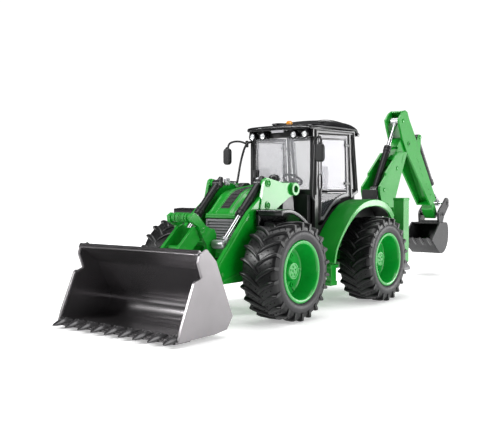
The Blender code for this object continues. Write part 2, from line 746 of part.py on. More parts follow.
def make_swing_post():
    barrel = bar((0, SWING_Y, 69.4), (0, SWING_Y, 99.6), 9, 16)
    pivot_pin = bar((0, SWING_Y, 60), (0, SWING_Y, 109), 3, 12)
    body = [(274, 70), (284, 70), (318, 98), (334, 102), (337, 112), (333, 121), (322, 123.5), (312, 122),
            (306, 118), (305.6, 135), (302.2, 135), (301, 112), (294, 102), (283, 99), (274, 99)]
    plate = side_plate(body, -POST_HALF, POST_HALF)
    hole = pin(BOOM_PIVOT, -16, 16, 3.4, 12)
    finish(fuse([barrel, pivot_pin, plate], [hole]), "swing_post", "black", (0, SWING_Y, 85))


def make_boom():
    """Two outer plates, drawn in at the top to a narrow nose that fits between the dipper's plates."""
    outline = [(314, 104), (311.5, 112), (304, 133), (304.6, 139.6), (322.9, 155), (322.9, 159.2), (360, 189.5),
               (386, 191.5), (386.5, 188), (369.7, 159), (351, 123.3), (343, 106), (332, 100), (320, 100)]
    pieces = []
    for side in (-1, 1):
        pieces.append(side_plate(outline, *span(side, BOOM_IN, BOOM_OUT)))
    neck = [(352, 179), (362, 188.6), (376, 189.6), (381, 182), (370, 163), (364, 166)]
    pieces.append(side_plate(neck, -BOOM_IN - 0.6, BOOM_IN + 0.6))
    nose = [(361, 185), (374, 201), (384, 210), (391, 213), (399, 214), (405, 211.5), (408, 204), (404, 195),
            (391, 184), (378, 174), (366, 170)]
    pieces.append(side_plate(nose, -EXTENSION_HALF, EXTENSION_HALF))
    web = strip([(350, 121), (368, 157), (375, 168)], -3)
    pieces.append(side_plate(web, -BOOM_IN - 0.6, BOOM_IN + 0.6))
    for centre, radius in ((BOOM_PIVOT, 3), (DIPPER_RAM_BASE, 2.2)):
        pieces.append(pin(centre, -BOOM_IN - 0.6, BOOM_IN + 0.6, radius, 12))
    pieces.append(pin(ELBOW, -DIPPER_OUT - 1.2, DIPPER_OUT + 1.2, 3, 12))
    finish(fuse(pieces), "boom", "green", (0, *BOOM_PIVOT))


def on_dipper(distance, offset):
    """A (y, z) point counted from the digging bucket's pivot, up the dipper's axis and off its back."""
    up = -EXTENSION_DIR
    back = Vector((0.0, up.z, -up.y))
    point = Vector((0.0, *DIGGER_PIVOT)) + up * distance + back * offset
    return (point.y, point.z)


def make_dipper():
    """A channel, open at the front, whose extension slides along its back."""
    plate = [(366.4, 238), (369.7, 228.7), (379, 210), (392.4, 192.7), (423.7, 163.3), on_dipper(27, -11.4),
             on_dipper(22, 9.8), (467, 159), (441, 191), (417.7, 220), (400.2, 240.8), (394.2, 250.9), (387.5, 252.9),
             (378.4, 248.7)]
    pieces = []
    for side in (-1, 1):
        pieces.append(side_plate(plate, *span(side, DIPPER_IN, DIPPER_OUT)))
    sill = [on_dipper(27, -11), on_dipper(30, -11.6), on_dipper(30, -2.8), on_dipper(26.4, -2.8)]
    pieces.append(side_plate(sill, -DIPPER_IN - 1, DIPPER_IN + 1))
    cap = [(383.6, 250.2), (388, 252.2), (393.8, 250), (398.6, 242.4), (395.6, 241.6), (391.6, 247), (387, 248.8)]
    pieces.append(side_plate(cap, -DIPPER_IN - 1, DIPPER_IN + 1))
    for distance in (26, 60):
        low = distance + 8
        pieces.append(side_plate([on_dipper(distance, 7.4), on_dipper(low, 7.4), on_dipper(low, 9.6),
                                  on_dipper(distance, 9.6)], -DIPPER_IN - 1, DIPPER_IN + 1))
    hole = pin(ELBOW, -16, 16, 3.4, 12)
    finish(fuse(pieces, [hole]), "dipper", "green", (0, *ELBOW))


def make_dipper_extension():
    outline = [on_dipper(124, -2.2), on_dipper(20, -2.2), on_dipper(14, -6.6), on_dipper(6, -6.6),
               on_dipper(-5, -5), on_dipper(-7, 0), on_dipper(-5, 5), on_dipper(6, 6.6), on_dipper(124, 6.6)]
    tube = side_plate(outline, -EXTENSION_HALF, EXTENSION_HALF)
    tower = [on_dipper(96, 5), on_dipper(124, 5), on_dipper(134, 30), on_dipper(128.6, 35.5),
             on_dipper(122.5, 30)]
    lug = side_plate(tower, -TOWER_HALF, TOWER_HALF)
    gap = [on_dipper(104, 20), on_dipper(150, 20), on_dipper(150, 42), on_dipper(104, 42)]
    slot = side_plate(gap, -5.2, 5.2)
    ram_pin = pin(DIGGER_RAM_BASE, -6, 6, 2.0, 10)
    boolean(lug, [slot], "DIFFERENCE")
    hole = pin(DIGGER_PIVOT, -14, 14, 3.0, 12)
    finish(fuse([tube, lug, ram_pin], [hole]), "dipper_extension", "green", (0, *DIGGER_PIVOT))


def make_digging_bucket():
    ear = [(494.5, 96), (498, 103.5), (521.5, 120.5), (528, 122.5), (535, 117), (534, 109.5), (516, 93),
           (511, 82), (497, 80)]
    bowl = [(487, 84), (511, 84), (517, 72), (518, 54), (503, 37), (488, 35), (462, 52)]
    pieces = [side_plate(strip([*bowl, (455, 58.5)], 2.2), -DIGGER_HALF, DIGGER_HALF)]
    for side in (-1, 1):
        pieces.append(side_plate(ear, *span(side, 14.5, 18)))
        pieces.append(side_plate([*bowl, (456, 58)], *span(side, 22.6, 24.7)))
    pieces.append(pin(DIGGER_PIVOT, -16, 16, 2.6, 12))
    for i in range(REAR_TEETH):
        x = REAR_TOOTH_PITCH * (i - (REAR_TEETH - 1) / 2)
        tooth = loft([[(x - 3, 463, 50.2), (x + 3, 463, 50.2), (x + 3, 465, 54), (x - 3, 465, 54)],
                      [(x - 1.6, 449, 60.4), (x + 1.6, 449, 60.4), (x + 1.6, 450, 62), (x - 1.6, 450, 62)]])
        pieces.append(tooth)
    finish(fuse(pieces), "rear_bucket", "gunmetal", (0, *DIGGER_PIVOT))


def make_backhoe_rams():
    barrel = ram_barrel(DIPPER_RAM_BASE, DIPPER_RAM_EYE, 0, 4.8, 74, 3.2, 5.5)
    hole = pin(DIPPER_RAM_BASE, -9, 9, 2.5, 12)
    finish(fuse([barrel], [hole]), "dipper_ram_barrel", "black", (0, *DIPPER_RAM_BASE))
    rod = ram_rod(DIPPER_RAM_BASE, DIPPER_RAM_EYE, 0, 2.8, 44, 5.4, 4)
    eye_pin = pin(DIPPER_RAM_EYE, 0.4 - DIPPER_IN, DIPPER_IN - 0.4, 2.2, 10)
    finish(fuse([rod, eye_pin]), "dipper_ram_rod", "silver", (0, *DIPPER_RAM_EYE))
    barrel = ram_barrel(DIGGER_RAM_BASE, DIGGER_RAM_EYE, 0, 4.4, 92, 3.0, 3.8)
    hole = pin(DIGGER_RAM_BASE, -9, 9, 2.4, 12)
    finish(fuse([barrel], [hole]), "bucket_ram_barrel", "black", (0, *DIGGER_RAM_BASE))
    rod = ram_rod(DIGGER_RAM_BASE, DIGGER_RAM_EYE, 0, 2.6, 50, 5.0, 4)
    eye_pin = pin(DIGGER_RAM_EYE, -14, 14, 2.2, 10)
    finish(fuse([rod, eye_pin]), "bucket_ram_rod", "silver", (0, *DIGGER_RAM_EYE))


def main():
    clear_scene()
    vehicle = bpy.data.objects.new("vehicle", None)
    bpy.context.scene.collection.objects.link(vehicle)
    vehicle.location = (0, FRONT_AXLE_Y * MM, 0)
    make_chassis()
    make_engine()
    make_grille()
    make_front_axle()
    make_knuckles()
    make_wheels()
    make_hood()
    make_front_fenders()
    make_rear_fenders()
    make_towers()
    make_cab_tub()
    make_cab_frame()
    make_roof()
    make_work_lights()
    make_beacon()
    make_windows()
    make_doors()
    make_mirrors()
    make_exhaust()
    make_seat()
    make_steering_wheel()
    make_arms()
    make_tilt_lever()
    make_tilt_link()
    make_front_bucket()
    make_tilt_rams()
    make_backhoe_frame()
    make_stabilisers()
    make_carriage()
    make_swing_post()
    make_boom()
    make_dipper()
    make_dipper_extension()
    make_digging_bucket()
    make_backhoe_rams()


main()
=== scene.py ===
"""The finished look of the toy backhoe loader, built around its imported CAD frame.

Shapes are written in millimetres, with Y counted from the front axle, and the frame gives that axle's place.
Pieces are made of closed shells, apart from a few thin bands on round parts. Each rides on a CAD body and stands for
the CAD node that it covers, if any.
"""

import json
import math

import bmesh
import bpy
from mathutils import Matrix, Vector


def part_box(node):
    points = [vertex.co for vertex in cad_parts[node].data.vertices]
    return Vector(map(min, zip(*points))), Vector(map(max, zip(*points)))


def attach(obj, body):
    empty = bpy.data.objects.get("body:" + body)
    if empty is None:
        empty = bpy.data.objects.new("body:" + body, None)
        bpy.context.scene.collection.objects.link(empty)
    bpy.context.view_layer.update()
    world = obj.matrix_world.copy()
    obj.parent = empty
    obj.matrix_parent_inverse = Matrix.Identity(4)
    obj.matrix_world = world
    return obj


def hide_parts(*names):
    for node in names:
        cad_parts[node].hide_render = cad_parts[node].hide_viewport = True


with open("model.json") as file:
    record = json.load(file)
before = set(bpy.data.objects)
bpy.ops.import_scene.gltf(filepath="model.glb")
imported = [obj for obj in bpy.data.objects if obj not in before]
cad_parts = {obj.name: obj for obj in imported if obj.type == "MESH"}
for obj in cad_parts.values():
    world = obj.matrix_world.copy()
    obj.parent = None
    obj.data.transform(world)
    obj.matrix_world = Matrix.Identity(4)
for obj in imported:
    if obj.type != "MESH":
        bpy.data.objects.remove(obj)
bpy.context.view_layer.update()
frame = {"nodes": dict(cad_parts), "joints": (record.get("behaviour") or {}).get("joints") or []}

MM = 0.001
SMOOTH = math.radians(32)
BEVELLED = math.radians(28)
FLAT = math.radians(0.6)
WELD = 1e-4
CAD_WELD = 2e-6

axle_low, axle_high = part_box("tyre_front_left")
AXLE_Y = (axle_low.y + axle_high.y) / 2 / MM
WHEEL_R = (axle_high.z - axle_low.z) / 2 / MM
TRACK_X = (axle_low.x + axle_high.x) / 2 / MM
rear_low, rear_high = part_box("tyre_rear_left")
WHEELBASE = (rear_low.y + rear_high.y) / 2 / MM - AXLE_Y
JOINTS = {joint["name"]: joint for joint in frame["joints"]}


def joint_yz(name):
    """A hinge's place as (y, z), in millimetres from the front axle."""
    x, y, z = JOINTS[name]["pos_m"]
    return (y / MM - AXLE_Y, z / MM)


# -------- shells

def loft(rings, closed=False):
    """A shell through rings of points; closed joins the last ring to the first, and open ends get caps."""
    bm = bmesh.new()
    layers = [[bm.verts.new(Vector(p)) for p in ring] for ring in rings]
    pairs = list(zip(layers, layers[1:]))
    if closed:
        pairs.append((layers[-1], layers[0]))
    for low, high in pairs:
        for i in range(len(low)):
            j = (i + 1) % len(low)
            bm.faces.new((low[i], low[j], high[j], high[i]))
    if not closed:
        bm.faces.new(layers[0])
        bm.faces.new(layers[-1])
    return bm


def side_plate(outline, x0, x1):
    """An outline in (y, z), extruded from x0 to x1."""
    return loft([[(x, y, z) for y, z in outline] for x in (x0, x1)])


def front_plate(outline, y0, y1):
    """An outline in (x, z), extruded from y0 to y1."""
    return loft([[(x, y, z) for x, z in outline] for y in (y0, y1)])


def turn(profile, centre, axis="X", segments=40):
    """A line of (distance along the axis, radius) turned about it; equal points are joined into one."""
    bm = bmesh.new()
    spin = {"X": Matrix.Identity(3), "Y": Matrix.Rotation(math.pi / 2, 3, "Z"),
            "Z": Matrix.Rotation(-math.pi / 2, 3, "Y")}
    turned_to = spin[axis] if isinstance(axis, str) else Vector(axis).to_track_quat("X", "Z").to_matrix()
    rings = []
    for i in range(segments):
        angle = 2 * math.pi * i / segments
        ring = []
        for along, r in profile:
            point = Vector((along, r * math.cos(angle), r * math.sin(angle)))
            ring.append(bm.verts.new(turned_to @ point + Vector(centre)))
        rings.append(ring)
    for i in range(segments):
        a = rings[i]
        b = rings[(i + 1) % segments]
        for j in range(len(profile) - 1):
            bm.faces.new((a[j], a[j + 1], b[j + 1], b[j]))
    bmesh.ops.remove_doubles(bm, verts=bm.verts, dist=WELD)
    return bm


def tube(points, radius, sides=14, closed=False):
    """A round tube along a line of points; radius is a number or one for each point."""
    line = [Vector(p) for p in points]
    count = len(line)
    radii = radius if isinstance(radius, (list, tuple)) else [radius] * count
    rings = []
    side = None
    for i, point in enumerate(line):
        before = line[i - 1] if i or closed else line[0]
        after = line[(i + 1) % count] if i < count - 1 or closed else line[-1]
        run = (after - before).normalized()
        if side is None:
            side = run.orthogonal().normalized()
        side = (side - run * side.dot(run)).normalized()
        other = run.cross(side)
        ring = []
        for j in range(sides):
            angle = 2 * math.pi * j / sides
            ring.append(point + (side * math.cos(angle) + other * math.sin(angle)) * radii[i])
        rings.append(ring)
    return loft(rings, closed)


def arc(centre, radius, start, end, steps):
    """Points in a plane on an arc; angles in degrees."""
    points = []
    for i in range(steps + 1):
        angle = math.radians(start + (end - start) * i / steps)
        points.append((centre[0] + radius * math.cos(angle), centre[1] + radius * math.sin(angle)))
    return points


def oval(centre, half, rise, sides):
    """A ring of points about centre: half wide in X, and as high as the (y, z) of rise."""
    x, y, z = centre
    angles = [2 * math.pi * k / sides for k in range(sides)]
    return [(x + half * math.cos(a), y + rise[0] * math.sin(a), z + rise[1] * math.sin(a)) for a in angles]


def smooth_line(points, steps=6):
    """A Catmull-Rom line through points in a plane or in space."""
    padded = [Vector(p) for p in (points[0], *points, points[-1])]
    line = []
    for i in range(1, len(padded) - 2):
        p0, p1, p2, p3 = padded[i - 1:i + 3]
        for j in range(steps):
            t = j / steps
            q = 0.5 * (2 * p1 + (p2 - p0) * t + (2 * p0 - 5 * p1 + 4 * p2 - p3) * t ** 2
                       + (3 * p1 - p0 - 3 * p2 + p3) * t ** 3)
            line.append(tuple(q))
    line.append(tuple(points[-1]))
    return line


def strip(line, thickness):
    """A closed outline: the line and the same line pushed sideways; thickness is a number or one per point."""
    depths = thickness if isinstance(thickness, list) else [thickness] * len(line)
    back = []
    for i, (point, depth) in enumerate(zip(line, depths)):
        before = Vector(line[max(i - 1, 0)])
        after = Vector(line[min(i + 1, len(line) - 1)])
        run = (after - before).normalized()
        back.append((point[0] + run.y * depth, point[1] - run.x * depth))
    return list(line) + back[::-1]


def span(side, inner, outer):
    """The X limits of something between inner and outer on one side of the machine."""
    return sorted((side * inner, side * outer))


def soften(bm, width, segments=2):
    """Rounds the sharp edges of a shell."""
    bmesh.ops.recalc_face_normals(bm, faces=bm.faces)
    sharp = [e for e in bm.edges if len(e.link_faces) == 2 and e.calc_face_angle(0) > BEVELLED]
    if sharp and width:
        bmesh.ops.bevel(bm, geom=sharp, offset=width, offset_type="OFFSET", segments=segments, profile=0.5,
                        affect="EDGES", clamp_overlap=True)


class Piece:
    """Collects shells into one named piece. While twin is set, each shell's mirror image is added with it."""

    def __init__(self, name):
        self.name = name
        self.bm = bmesh.new()
        self.twin = False

    def add(self, bm, soft=0.0, segments=2):
        soften(bm, soft, segments)
        mesh = bpy.data.meshes.new("shell")
        bm.to_mesh(mesh)
        bm.free()
        self.bm.from_mesh(mesh)
        if self.twin:
            self.bm.from_mesh(mirrored(mesh))
        bpy.data.meshes.remove(mesh)

    def plate(self, outline, x0, x1, soft=0.0, segments=2):
        self.add(side_plate(outline, x0, x1), soft, segments)

    def front(self, outline, y0, y1, soft=0.0, segments=2):
        self.add(front_plate(outline, y0, y1), soft, segments)

    def block(self, x0, x1, y0, y1, z0, z1, soft=0.0, segments=2):
        self.plate([(y0, z0), (y1, z0), (y1, z1), (y0, z1)], x0, x1, soft, segments)

    def turn(self, profile, centre, axis="X", segments=40):
        """A solid: flat faces close the ends of the profile that are off the axis."""
        ends = [(profile[i][0], 0) for i in (0, -1)]
        self.add(turn([ends[0], *profile, ends[1]], centre, axis, segments))

    def ring(self, profile, centre, axis="X", segments=40):
        """A closed profile that stays clear of the axis, turned about it."""
        self.add(turn([*profile, profile[0]], centre, axis, segments))

    def rod(self, start, end, radius, segments=24, edge=0.5):
        """A round bar with softened ends between two points."""
        run = Vector(end) - Vector(start)
        tip = run.length
        profile = [(0, radius - edge), (edge, radius), (tip - edge, radius), (tip, radius - edge)]
        self.turn(profile, start, run, segments)

    def pin(self, centre, x0, x1, radius):
        self.rod((x0, *centre), (x1, *centre), radius)

    def tube(self, points, radius, sides=14, closed=False):
        self.add(tube(points, radius, sides, closed))

    def bolt(self, centre, out, radius=1.6, height=1.2):
        """A six-sided bolt head on a washer, standing out from centre along out."""
        self.turn([(-0.4, radius * 1.45), (0.3, radius * 1.35)], centre, out, 20)
        head = [(0.1, radius), (height * 0.8, radius), (height, radius * 0.8)]
        self.turn(head, centre, out, 6)

    def studs(self, centre, r, height, radius, edge):
        """Twelve upright ribs about a round shape."""
        for x, y in arc(centre, r, 0, 330, 11):
            self.rod((x, y, centre[2]), (x, y, centre[2] + height), radius, 8, edge)

    def mesh(self):
        made = bpy.data.meshes.new(self.name)
        self.bm.to_mesh(made)
        self.bm.free()
        made.transform(Matrix.Translation((0, AXLE_Y * MM, 0)) @ Matrix.Scale(MM, 4))
        made.shade_smooth()
        made.set_sharp_from_angle(angle=SMOOTH)
        return made

    def done(self, finish, body, replaces=()):
        """Makes the object; finish is a key of FINISHES."""
        place(self.name, self.mesh(), finish, body, replaces)


def mirrored(mesh):
    """Turns a mesh into its mirror image on the machine's other side."""
    mesh.transform(Matrix.Scale(-1, 4, (1, 0, 0)))
    mesh.flip_normals()
    return mesh


def linked(name, data):
    """A new object in the scene."""
    made = bpy.data.objects.new(name, data)
    bpy.context.scene.collection.objects.link(made)
    return made


def place(name, mesh, finish, body, replaces=()):
    """Makes a visible piece with its material, the body it rides on and the nodes it stands for."""
    obj = linked(name, mesh)
    material, slot = FINISHES[finish]
    mesh.materials.clear()
    mesh.materials.append(material)
    flat_faces = obj.modifiers.new("flat_faces", "WEIGHTED_NORMAL")
    flat_faces.keep_sharp = True
    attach(obj, body)
    if replaces:
        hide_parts(*([replaces] if isinstance(replaces, str) else replaces))


def pair(name, build, finish, bodies, replaces=((), ())):
    """Makes a piece for the left side and its mirror image for the right."""
    left = Piece(name)
    build(left)
    mesh = left.mesh()
    right = mirrored(mesh.copy())
    for side, data, body, node in (("left", mesh, bodies[0], replaces[0]),
                                   ("right", right, bodies[1], replaces[1])):
        place(f"{name}_{side}", data, finish, body, node)


def refined(node, finish, body, width=0.5, extra=None, name=None):
    """A CAD node's own shape with rounded edges, and any extra shells with it."""
    bm = bmesh.new()
    bm.from_mesh(frame["nodes"][node].data)
    bmesh.ops.remove_doubles(bm, verts=bm.verts, dist=CAD_WELD)
    bmesh.ops.dissolve_limit(bm, angle_limit=FLAT, verts=bm.verts, edges=bm.edges)
    bm.transform(Matrix.Scale(1 / MM, 4) @ Matrix.Translation((0, -AXLE_Y * MM, 0)))
    piece = Piece(name or node + "_body")
    piece.add(bm, width)
    if extra:
        extra(piece)
    piece.done(finish, body, node)


# -------- materials

GRAIN_DEPTH = 0.0002
STREAKS = (8.4, 415.8, 415.8)
PANE_SHINE = 0.22


def node_of(tree, kind, **values):
    made = tree.nodes.new(kind)
    for key, value in values.items():
        setattr(made, key, value)
    return made


def put(node, **values):
    """Sets a node's inputs; an underscore stands for a space in an input's name."""
    for key, value in values.items():
        node.inputs[key.replace("_", " ")].default_value = value


def noise(tree, scale, detail=3.0):
    where = node_of(tree, "ShaderNodeTexCoord")
    made = node_of(tree, "ShaderNodeTexNoise")
    put(made, Scale=scale, Detail=detail)
    tree.links.new(where.outputs["Object"], made.inputs["Vector"])
    return made.outputs["Fac"]


def ranged(tree, value, low, high, source=(0.3, 0.7)):
    made = node_of(tree, "ShaderNodeMapRange")
    put(made, From_Min=source[0], From_Max=source[1], To_Min=low, To_Max=high)
    tree.links.new(value, made.inputs["Value"])
    return made.outputs["Result"]


def mixed(tree, amount, first, second):
    made = node_of(tree, "ShaderNodeMix", data_type="RGBA")
    for socket, value in ((made.inputs["A"], first), (made.inputs["B"], second)):
        if isinstance(value, tuple):
            socket.default_value = (*value, 1.0)
        else:
            tree.links.new(value, socket)
    tree.links.new(amount, made.inputs["Factor"])
    return made.outputs["Result"]


def moulded(name, colour, rough, tint=0.12, grain=900.0, bump=0.04, metallic=0.0, coat=0.0, edge=0.0,
            specular=0.5):
    """Moulded or painted stuff: slow colour drift, fine grain in roughness and bump, and sharp edges painted paler as
    a painted highlight.
    """
    mat = bpy.data.materials.new(name)
    mat.use_nodes = True
    tree = mat.node_tree
    shader = tree.nodes["Principled BSDF"]
    dark = tuple(c * (1 - tint) for c in colour)
    light = tuple(min(1.0, c * (1 + tint) + 0.002) for c in colour)
    base = mixed(tree, ranged(tree, noise(tree, 45.0), 0.0, 1.0), dark, light)
    # edge sets a painted highlight: sharp edges, found by pointiness, are made paler as if they caught the light.
    if edge:
        edge_highlight = node_of(tree, "ShaderNodeNewGeometry").outputs["Pointiness"]
        highlight_colour = tuple(min(1.0, c + edge) for c in colour)
        base = mixed(tree, ranged(tree, edge_highlight, 0.0, 0.55, (0.53, 0.62)), base, highlight_colour)
    tree.links.new(base, shader.inputs["Base Color"])
    tree.links.new(ranged(tree, noise(tree, grain * 0.35), rough * 0.85, rough * 1.2),
                   shader.inputs["Roughness"])
    relief = node_of(tree, "ShaderNodeBump")
    put(relief, Strength=bump, Distance=GRAIN_DEPTH)
    tree.links.new(noise(tree, grain, 2.0), relief.inputs["Height"])
    tree.links.new(relief.outputs["Normal"], shader.inputs["Normal"])
    put(shader, Metallic=metallic, Coat_Weight=coat, Coat_Roughness=0.08, Specular_IOR_Level=specular)
    return mat


def brushed(name, colour, rough, metallic):
    """Metallic paint with faint streaks along X."""
    mat = moulded(name, colour, rough, 0.05, 1400.0, 0.02, metallic)
    tree = mat.node_tree
    where = node_of(tree, "ShaderNodeTexCoord")
    stretch = node_of(tree, "ShaderNodeMapping")
    put(stretch, Scale=STREAKS)
    lines = node_of(tree, "ShaderNodeTexNoise")
    put(lines, Scale=1.0)
    tree.links.new(where.outputs["Object"], stretch.inputs["Vector"])
    tree.links.new(stretch.outputs["Vector"], lines.inputs["Vector"])
    streaks = ranged(tree, lines.outputs["Fac"], rough * 0.97, rough * 1.04)
    tree.links.new(streaks, tree.nodes["Principled BSDF"].inputs["Roughness"])
    return mat


def pane_material(name, colour, alpha, rough):
    mat = moulded(name, colour, rough, 0.03, 300.0, 0.01)
    put(mat.node_tree.nodes["Principled BSDF"], Alpha=alpha, Specular_IOR_Level=PANE_SHINE)
    return mat


def amber_material():
    mat = moulded("amber_lens", (0.95, 0.33, 0.02), 0.16, 0.1, 700.0, 0.05, coat=0.5)
    put(mat.node_tree.nodes["Principled BSDF"], Subsurface_Weight=0.3, Subsurface_Scale=0.002)
    return mat


# edge= in these finishes is the strength of the painted edge highlight.
FINISHES = {
    "green": (moulded("green_plastic", (0.0, 0.26, 0.013), 0.38, 0.06, 900.0, 0.03, coat=0.5, edge=0.06,
                      specular=0.22),
              "green_plastic"),
    "rim": (moulded("rim_green", (0.0, 0.32, 0.03), 0.32, 0.03, 900.0, 0.01, coat=0.4), "green_plastic"),
    "black": (moulded("black_plastic", (0.006, 0.006, 0.007), 0.32, 0.25, 1100.0, 0.06, coat=0.18, edge=0.02,
                      specular=0.3),
              "black_plastic"),
    "gloss": (moulded("gloss_black", (0.004, 0.004, 0.005), 0.18, 0.25, 900.0, 0.03, coat=0.28,
                      specular=0.28), "black_plastic"),
    "trim": (moulded("black_trim", (0.009, 0.009, 0.01), 0.5, 0.25, 1500.0, 0.1, specular=0.35),
             "black_plastic"),
    "grey": (moulded("grey_plastic", (0.17, 0.17, 0.178), 0.4, 0.12, 1000.0, 0.06, edge=0.06),
             "grey_plastic"),
    "slats": (moulded("grille_grey", (0.18, 0.18, 0.19), 0.4, 0.1, 1000.0, 0.05, metallic=0.3, edge=0.1),
              "grey_plastic"),
    "bucket": (brushed("bucket_paint", (0.25, 0.238, 0.246), 0.3, 0.8), "bucket_grey"),
    # The bucket's shell is the same paint made darker: painted shade for the dark inside of the bucket.
    "bucket_painted_shade": (brushed("bucket_painted_shade_paint", (0.19, 0.182, 0.188), 0.21, 0.88), "bucket_grey"),
    "digger": (moulded("digger_grey", (0.016, 0.0155, 0.017), 0.36, 0.12, 1200.0, 0.05, metallic=0.1,
                       edge=0.03, specular=0.36),
               "bucket_grey"),
    "tooth": (moulded("tooth_grey", (0.06, 0.058, 0.061), 0.24, 0.15, 1200.0, 0.08, metallic=0.5, edge=0.08),
              "bucket_grey"),
    "tread": (moulded("tyre_rubber", (0.005, 0.005, 0.0055), 0.34, 0.3, 1500.0, 0.1, specular=0.32),
              "tyre_rubber"),
    # The side wall is the tyre rubber made paler than the tread: a painted sheen for the grey that reflection gives
    # the wall.
    "sidewall_sheen": (moulded("tyre_side_wall_painted_sheen", (0.023, 0.022, 0.0245), 0.42, 0.1, 1500.0, 0.05, specular=0.4),
                 "tyre_rubber"),
    "steel": (moulded("plated_steel", (0.66, 0.66, 0.68), 0.16, 0.06, 1500.0, 0.03, metallic=1.0),
              "plated_rod"),
    "cast": (moulded("cast_eye", (0.42, 0.42, 0.44), 0.36, 0.1, 1300.0, 0.1, metallic=0.8, edge=0.1),
             "plated_rod"),
    "glass": (pane_material("clear_pane", (0.6, 0.59, 0.64), 0.18, 0.03), "clear_pane"),
    "door_glass": (pane_material("door_pane", (0.43, 0.42, 0.47), 0.36, 0.03), "clear_pane"),
    "cloudy": (pane_material("door_rim_clear", (0.15, 0.145, 0.158), 0.85, 0.14), "clear_pane"),
    "smoked": (pane_material("smoked_pane", (0.035, 0.032, 0.042), 0.6, 0.05), "clear_pane"),
    "amber": (amber_material(), "amber_lens"),
    "lens": (pane_material("lamp_lens", (0.95, 0.96, 1.0), 0.3, 0.02), "work_lamp"),
    "mirror": (moulded("lamp_mirror", (0.62, 0.62, 0.64), 0.22, 0.2, 300.0, 0.5, metallic=1.0), "work_lamp"),
    "blank": (moulded("blank_plate", (0.36, 0.35, 0.38), 0.35, 0.04, 900.0, 0.04), "work_lamp"),
}


# -------- stage

# The camera's place is in millimetres from the front axle, its angles in degrees and its lens in millimetres.
CAMERA_AT = (503.35, -606.15, 128.51)
CAMERA_AZIMUTH = 38.2
CAMERA_PITCH = 1.61
CAMERA_LENS = 52.44
# The world is bright to the camera and dim to the machine.
BACKDROP = 1.08
AMBIENT = 0.1
FLOOR_SIZE = 14.0
# Place, target and size in metres, and power in watts.
LIGHTS = {
    "overhead": ((-0.1, 0.1, 1.4), (0, 0, 0.05), (1.2, 1.4), 20),
    "side_panel": ((1.7, -0.2, 0.62), (0, -0.15, 0.12), (1.2, 1.0), 16.5),
    "rear_left_panel": ((1.17, 1.45, 0.62), (0, -0.05, 0.62), (1.5, 0.9), 2.2),
    "low_softbox": ((1.2, 1.43, 0.24), (0, -0.15, 0.24), (0.7, 0.34), 10),
    "front_right_panel": ((-0.82, -1.36, 0.86), (0, -0.1, 0.05), (0.34, 0.4), 20),
}


def make_camera():
    """The machine is seen from its front left, a little above hub height."""
    azimuth = math.radians(CAMERA_AZIMUTH)
    down = math.radians(CAMERA_PITCH)
    data = bpy.data.cameras.new("camera")
    data.sensor_width = 36.0
    data.lens = CAMERA_LENS
    data.clip_start = 0.01
    data.clip_end = 60.0
    camera = linked("camera", data)
    camera.location = (Vector(CAMERA_AT) + Vector((0, AXLE_Y, 0))) * MM
    ahead = Vector((-math.sin(azimuth) * math.cos(down), math.cos(azimuth) * math.cos(down), -math.sin(down)))
    camera.rotation_euler = ahead.to_track_quat("-Z", "Y").to_euler()
    bpy.context.scene.camera = camera


def make_light(name, place_at, target, size, power):
    data = bpy.data.lights.new(name, "AREA")
    data.shape = "RECTANGLE"
    data.size, data.size_y = size
    data.energy = power
    light = linked(name, data)
    light.location = place_at
    light.rotation_euler = (Vector(target) - Vector(place_at)).to_track_quat("-Z", "Y").to_euler()


def floor_paint():
    """Pale matt paint that glows a little, and more with distance, as a lit sweep of paper does."""
    mat = moulded("floor_paint", (0.93, 0.93, 0.93), 0.7, 0.01, 40.0, 0.0, specular=0.1)
    tree = mat.node_tree
    where = node_of(tree, "ShaderNodeTexCoord")
    reach = node_of(tree, "ShaderNodeVectorMath", operation="LENGTH")
    tree.links.new(where.outputs["Object"], reach.inputs[0])
    glow = ranged(tree, reach.outputs["Value"], 0.36, 1.05, (0.32, 1.0))
    shader = tree.nodes["Principled BSDF"]
    put(shader, Emission_Color=(1.0, 1.0, 1.0, 1.0))
    tree.links.new(glow, shader.inputs["Emission Strength"])
    return mat


def make_stage():
    bm = bmesh.new()
    bmesh.ops.create_grid(bm, x_segments=8, y_segments=8, size=FLOOR_SIZE)
    mesh = bpy.data.meshes.new("floor")
    bm.to_mesh(mesh)
    bm.free()
    floor = linked("floor", mesh)
    mesh.materials.append(floor_paint())
    world = bpy.data.worlds.new("studio")
    bpy.context.scene.world = world
    world.use_nodes = True
    tree = world.node_tree
    back = tree.nodes["Background"]
    put(back, Color=(1.0, 1.0, 1.0, 1.0), Strength=BACKDROP)
    soft = node_of(tree, "ShaderNodeBackground")
    put(soft, Color=(0.97, 0.98, 1.0, 1.0), Strength=AMBIENT)
    seen = node_of(tree, "ShaderNodeLightPath")
    blend = node_of(tree, "ShaderNodeMixShader")
    tree.links.new(seen.outputs["Is Camera Ray"], blend.inputs["Fac"])
    tree.links.new(soft.outputs["Background"], blend.inputs[1])
    tree.links.new(back.outputs["Background"], blend.inputs[2])
    tree.links.new(blend.outputs["Shader"], tree.nodes["World Output"].inputs["Surface"])
    bpy.context.scene.view_settings.view_transform = "Standard"
    for name, light in LIGHTS.items():
        make_light(name, *light)


# -------- wheels

LUGS = 22
LUG_STATIONS = 9
LUG_REACH = 24
LUG_HOOK = math.radians(16.5)
SHOULDER_X = 20.8
TREAD_R = 48.7
HUB = (0, 0, 0)


def round_about(x, r, angle):
    """A point at radius r and an angle from the top, growing forwards, in wheel coordinates."""
    return Vector((x, -r * math.sin(angle), r * math.cos(angle)))


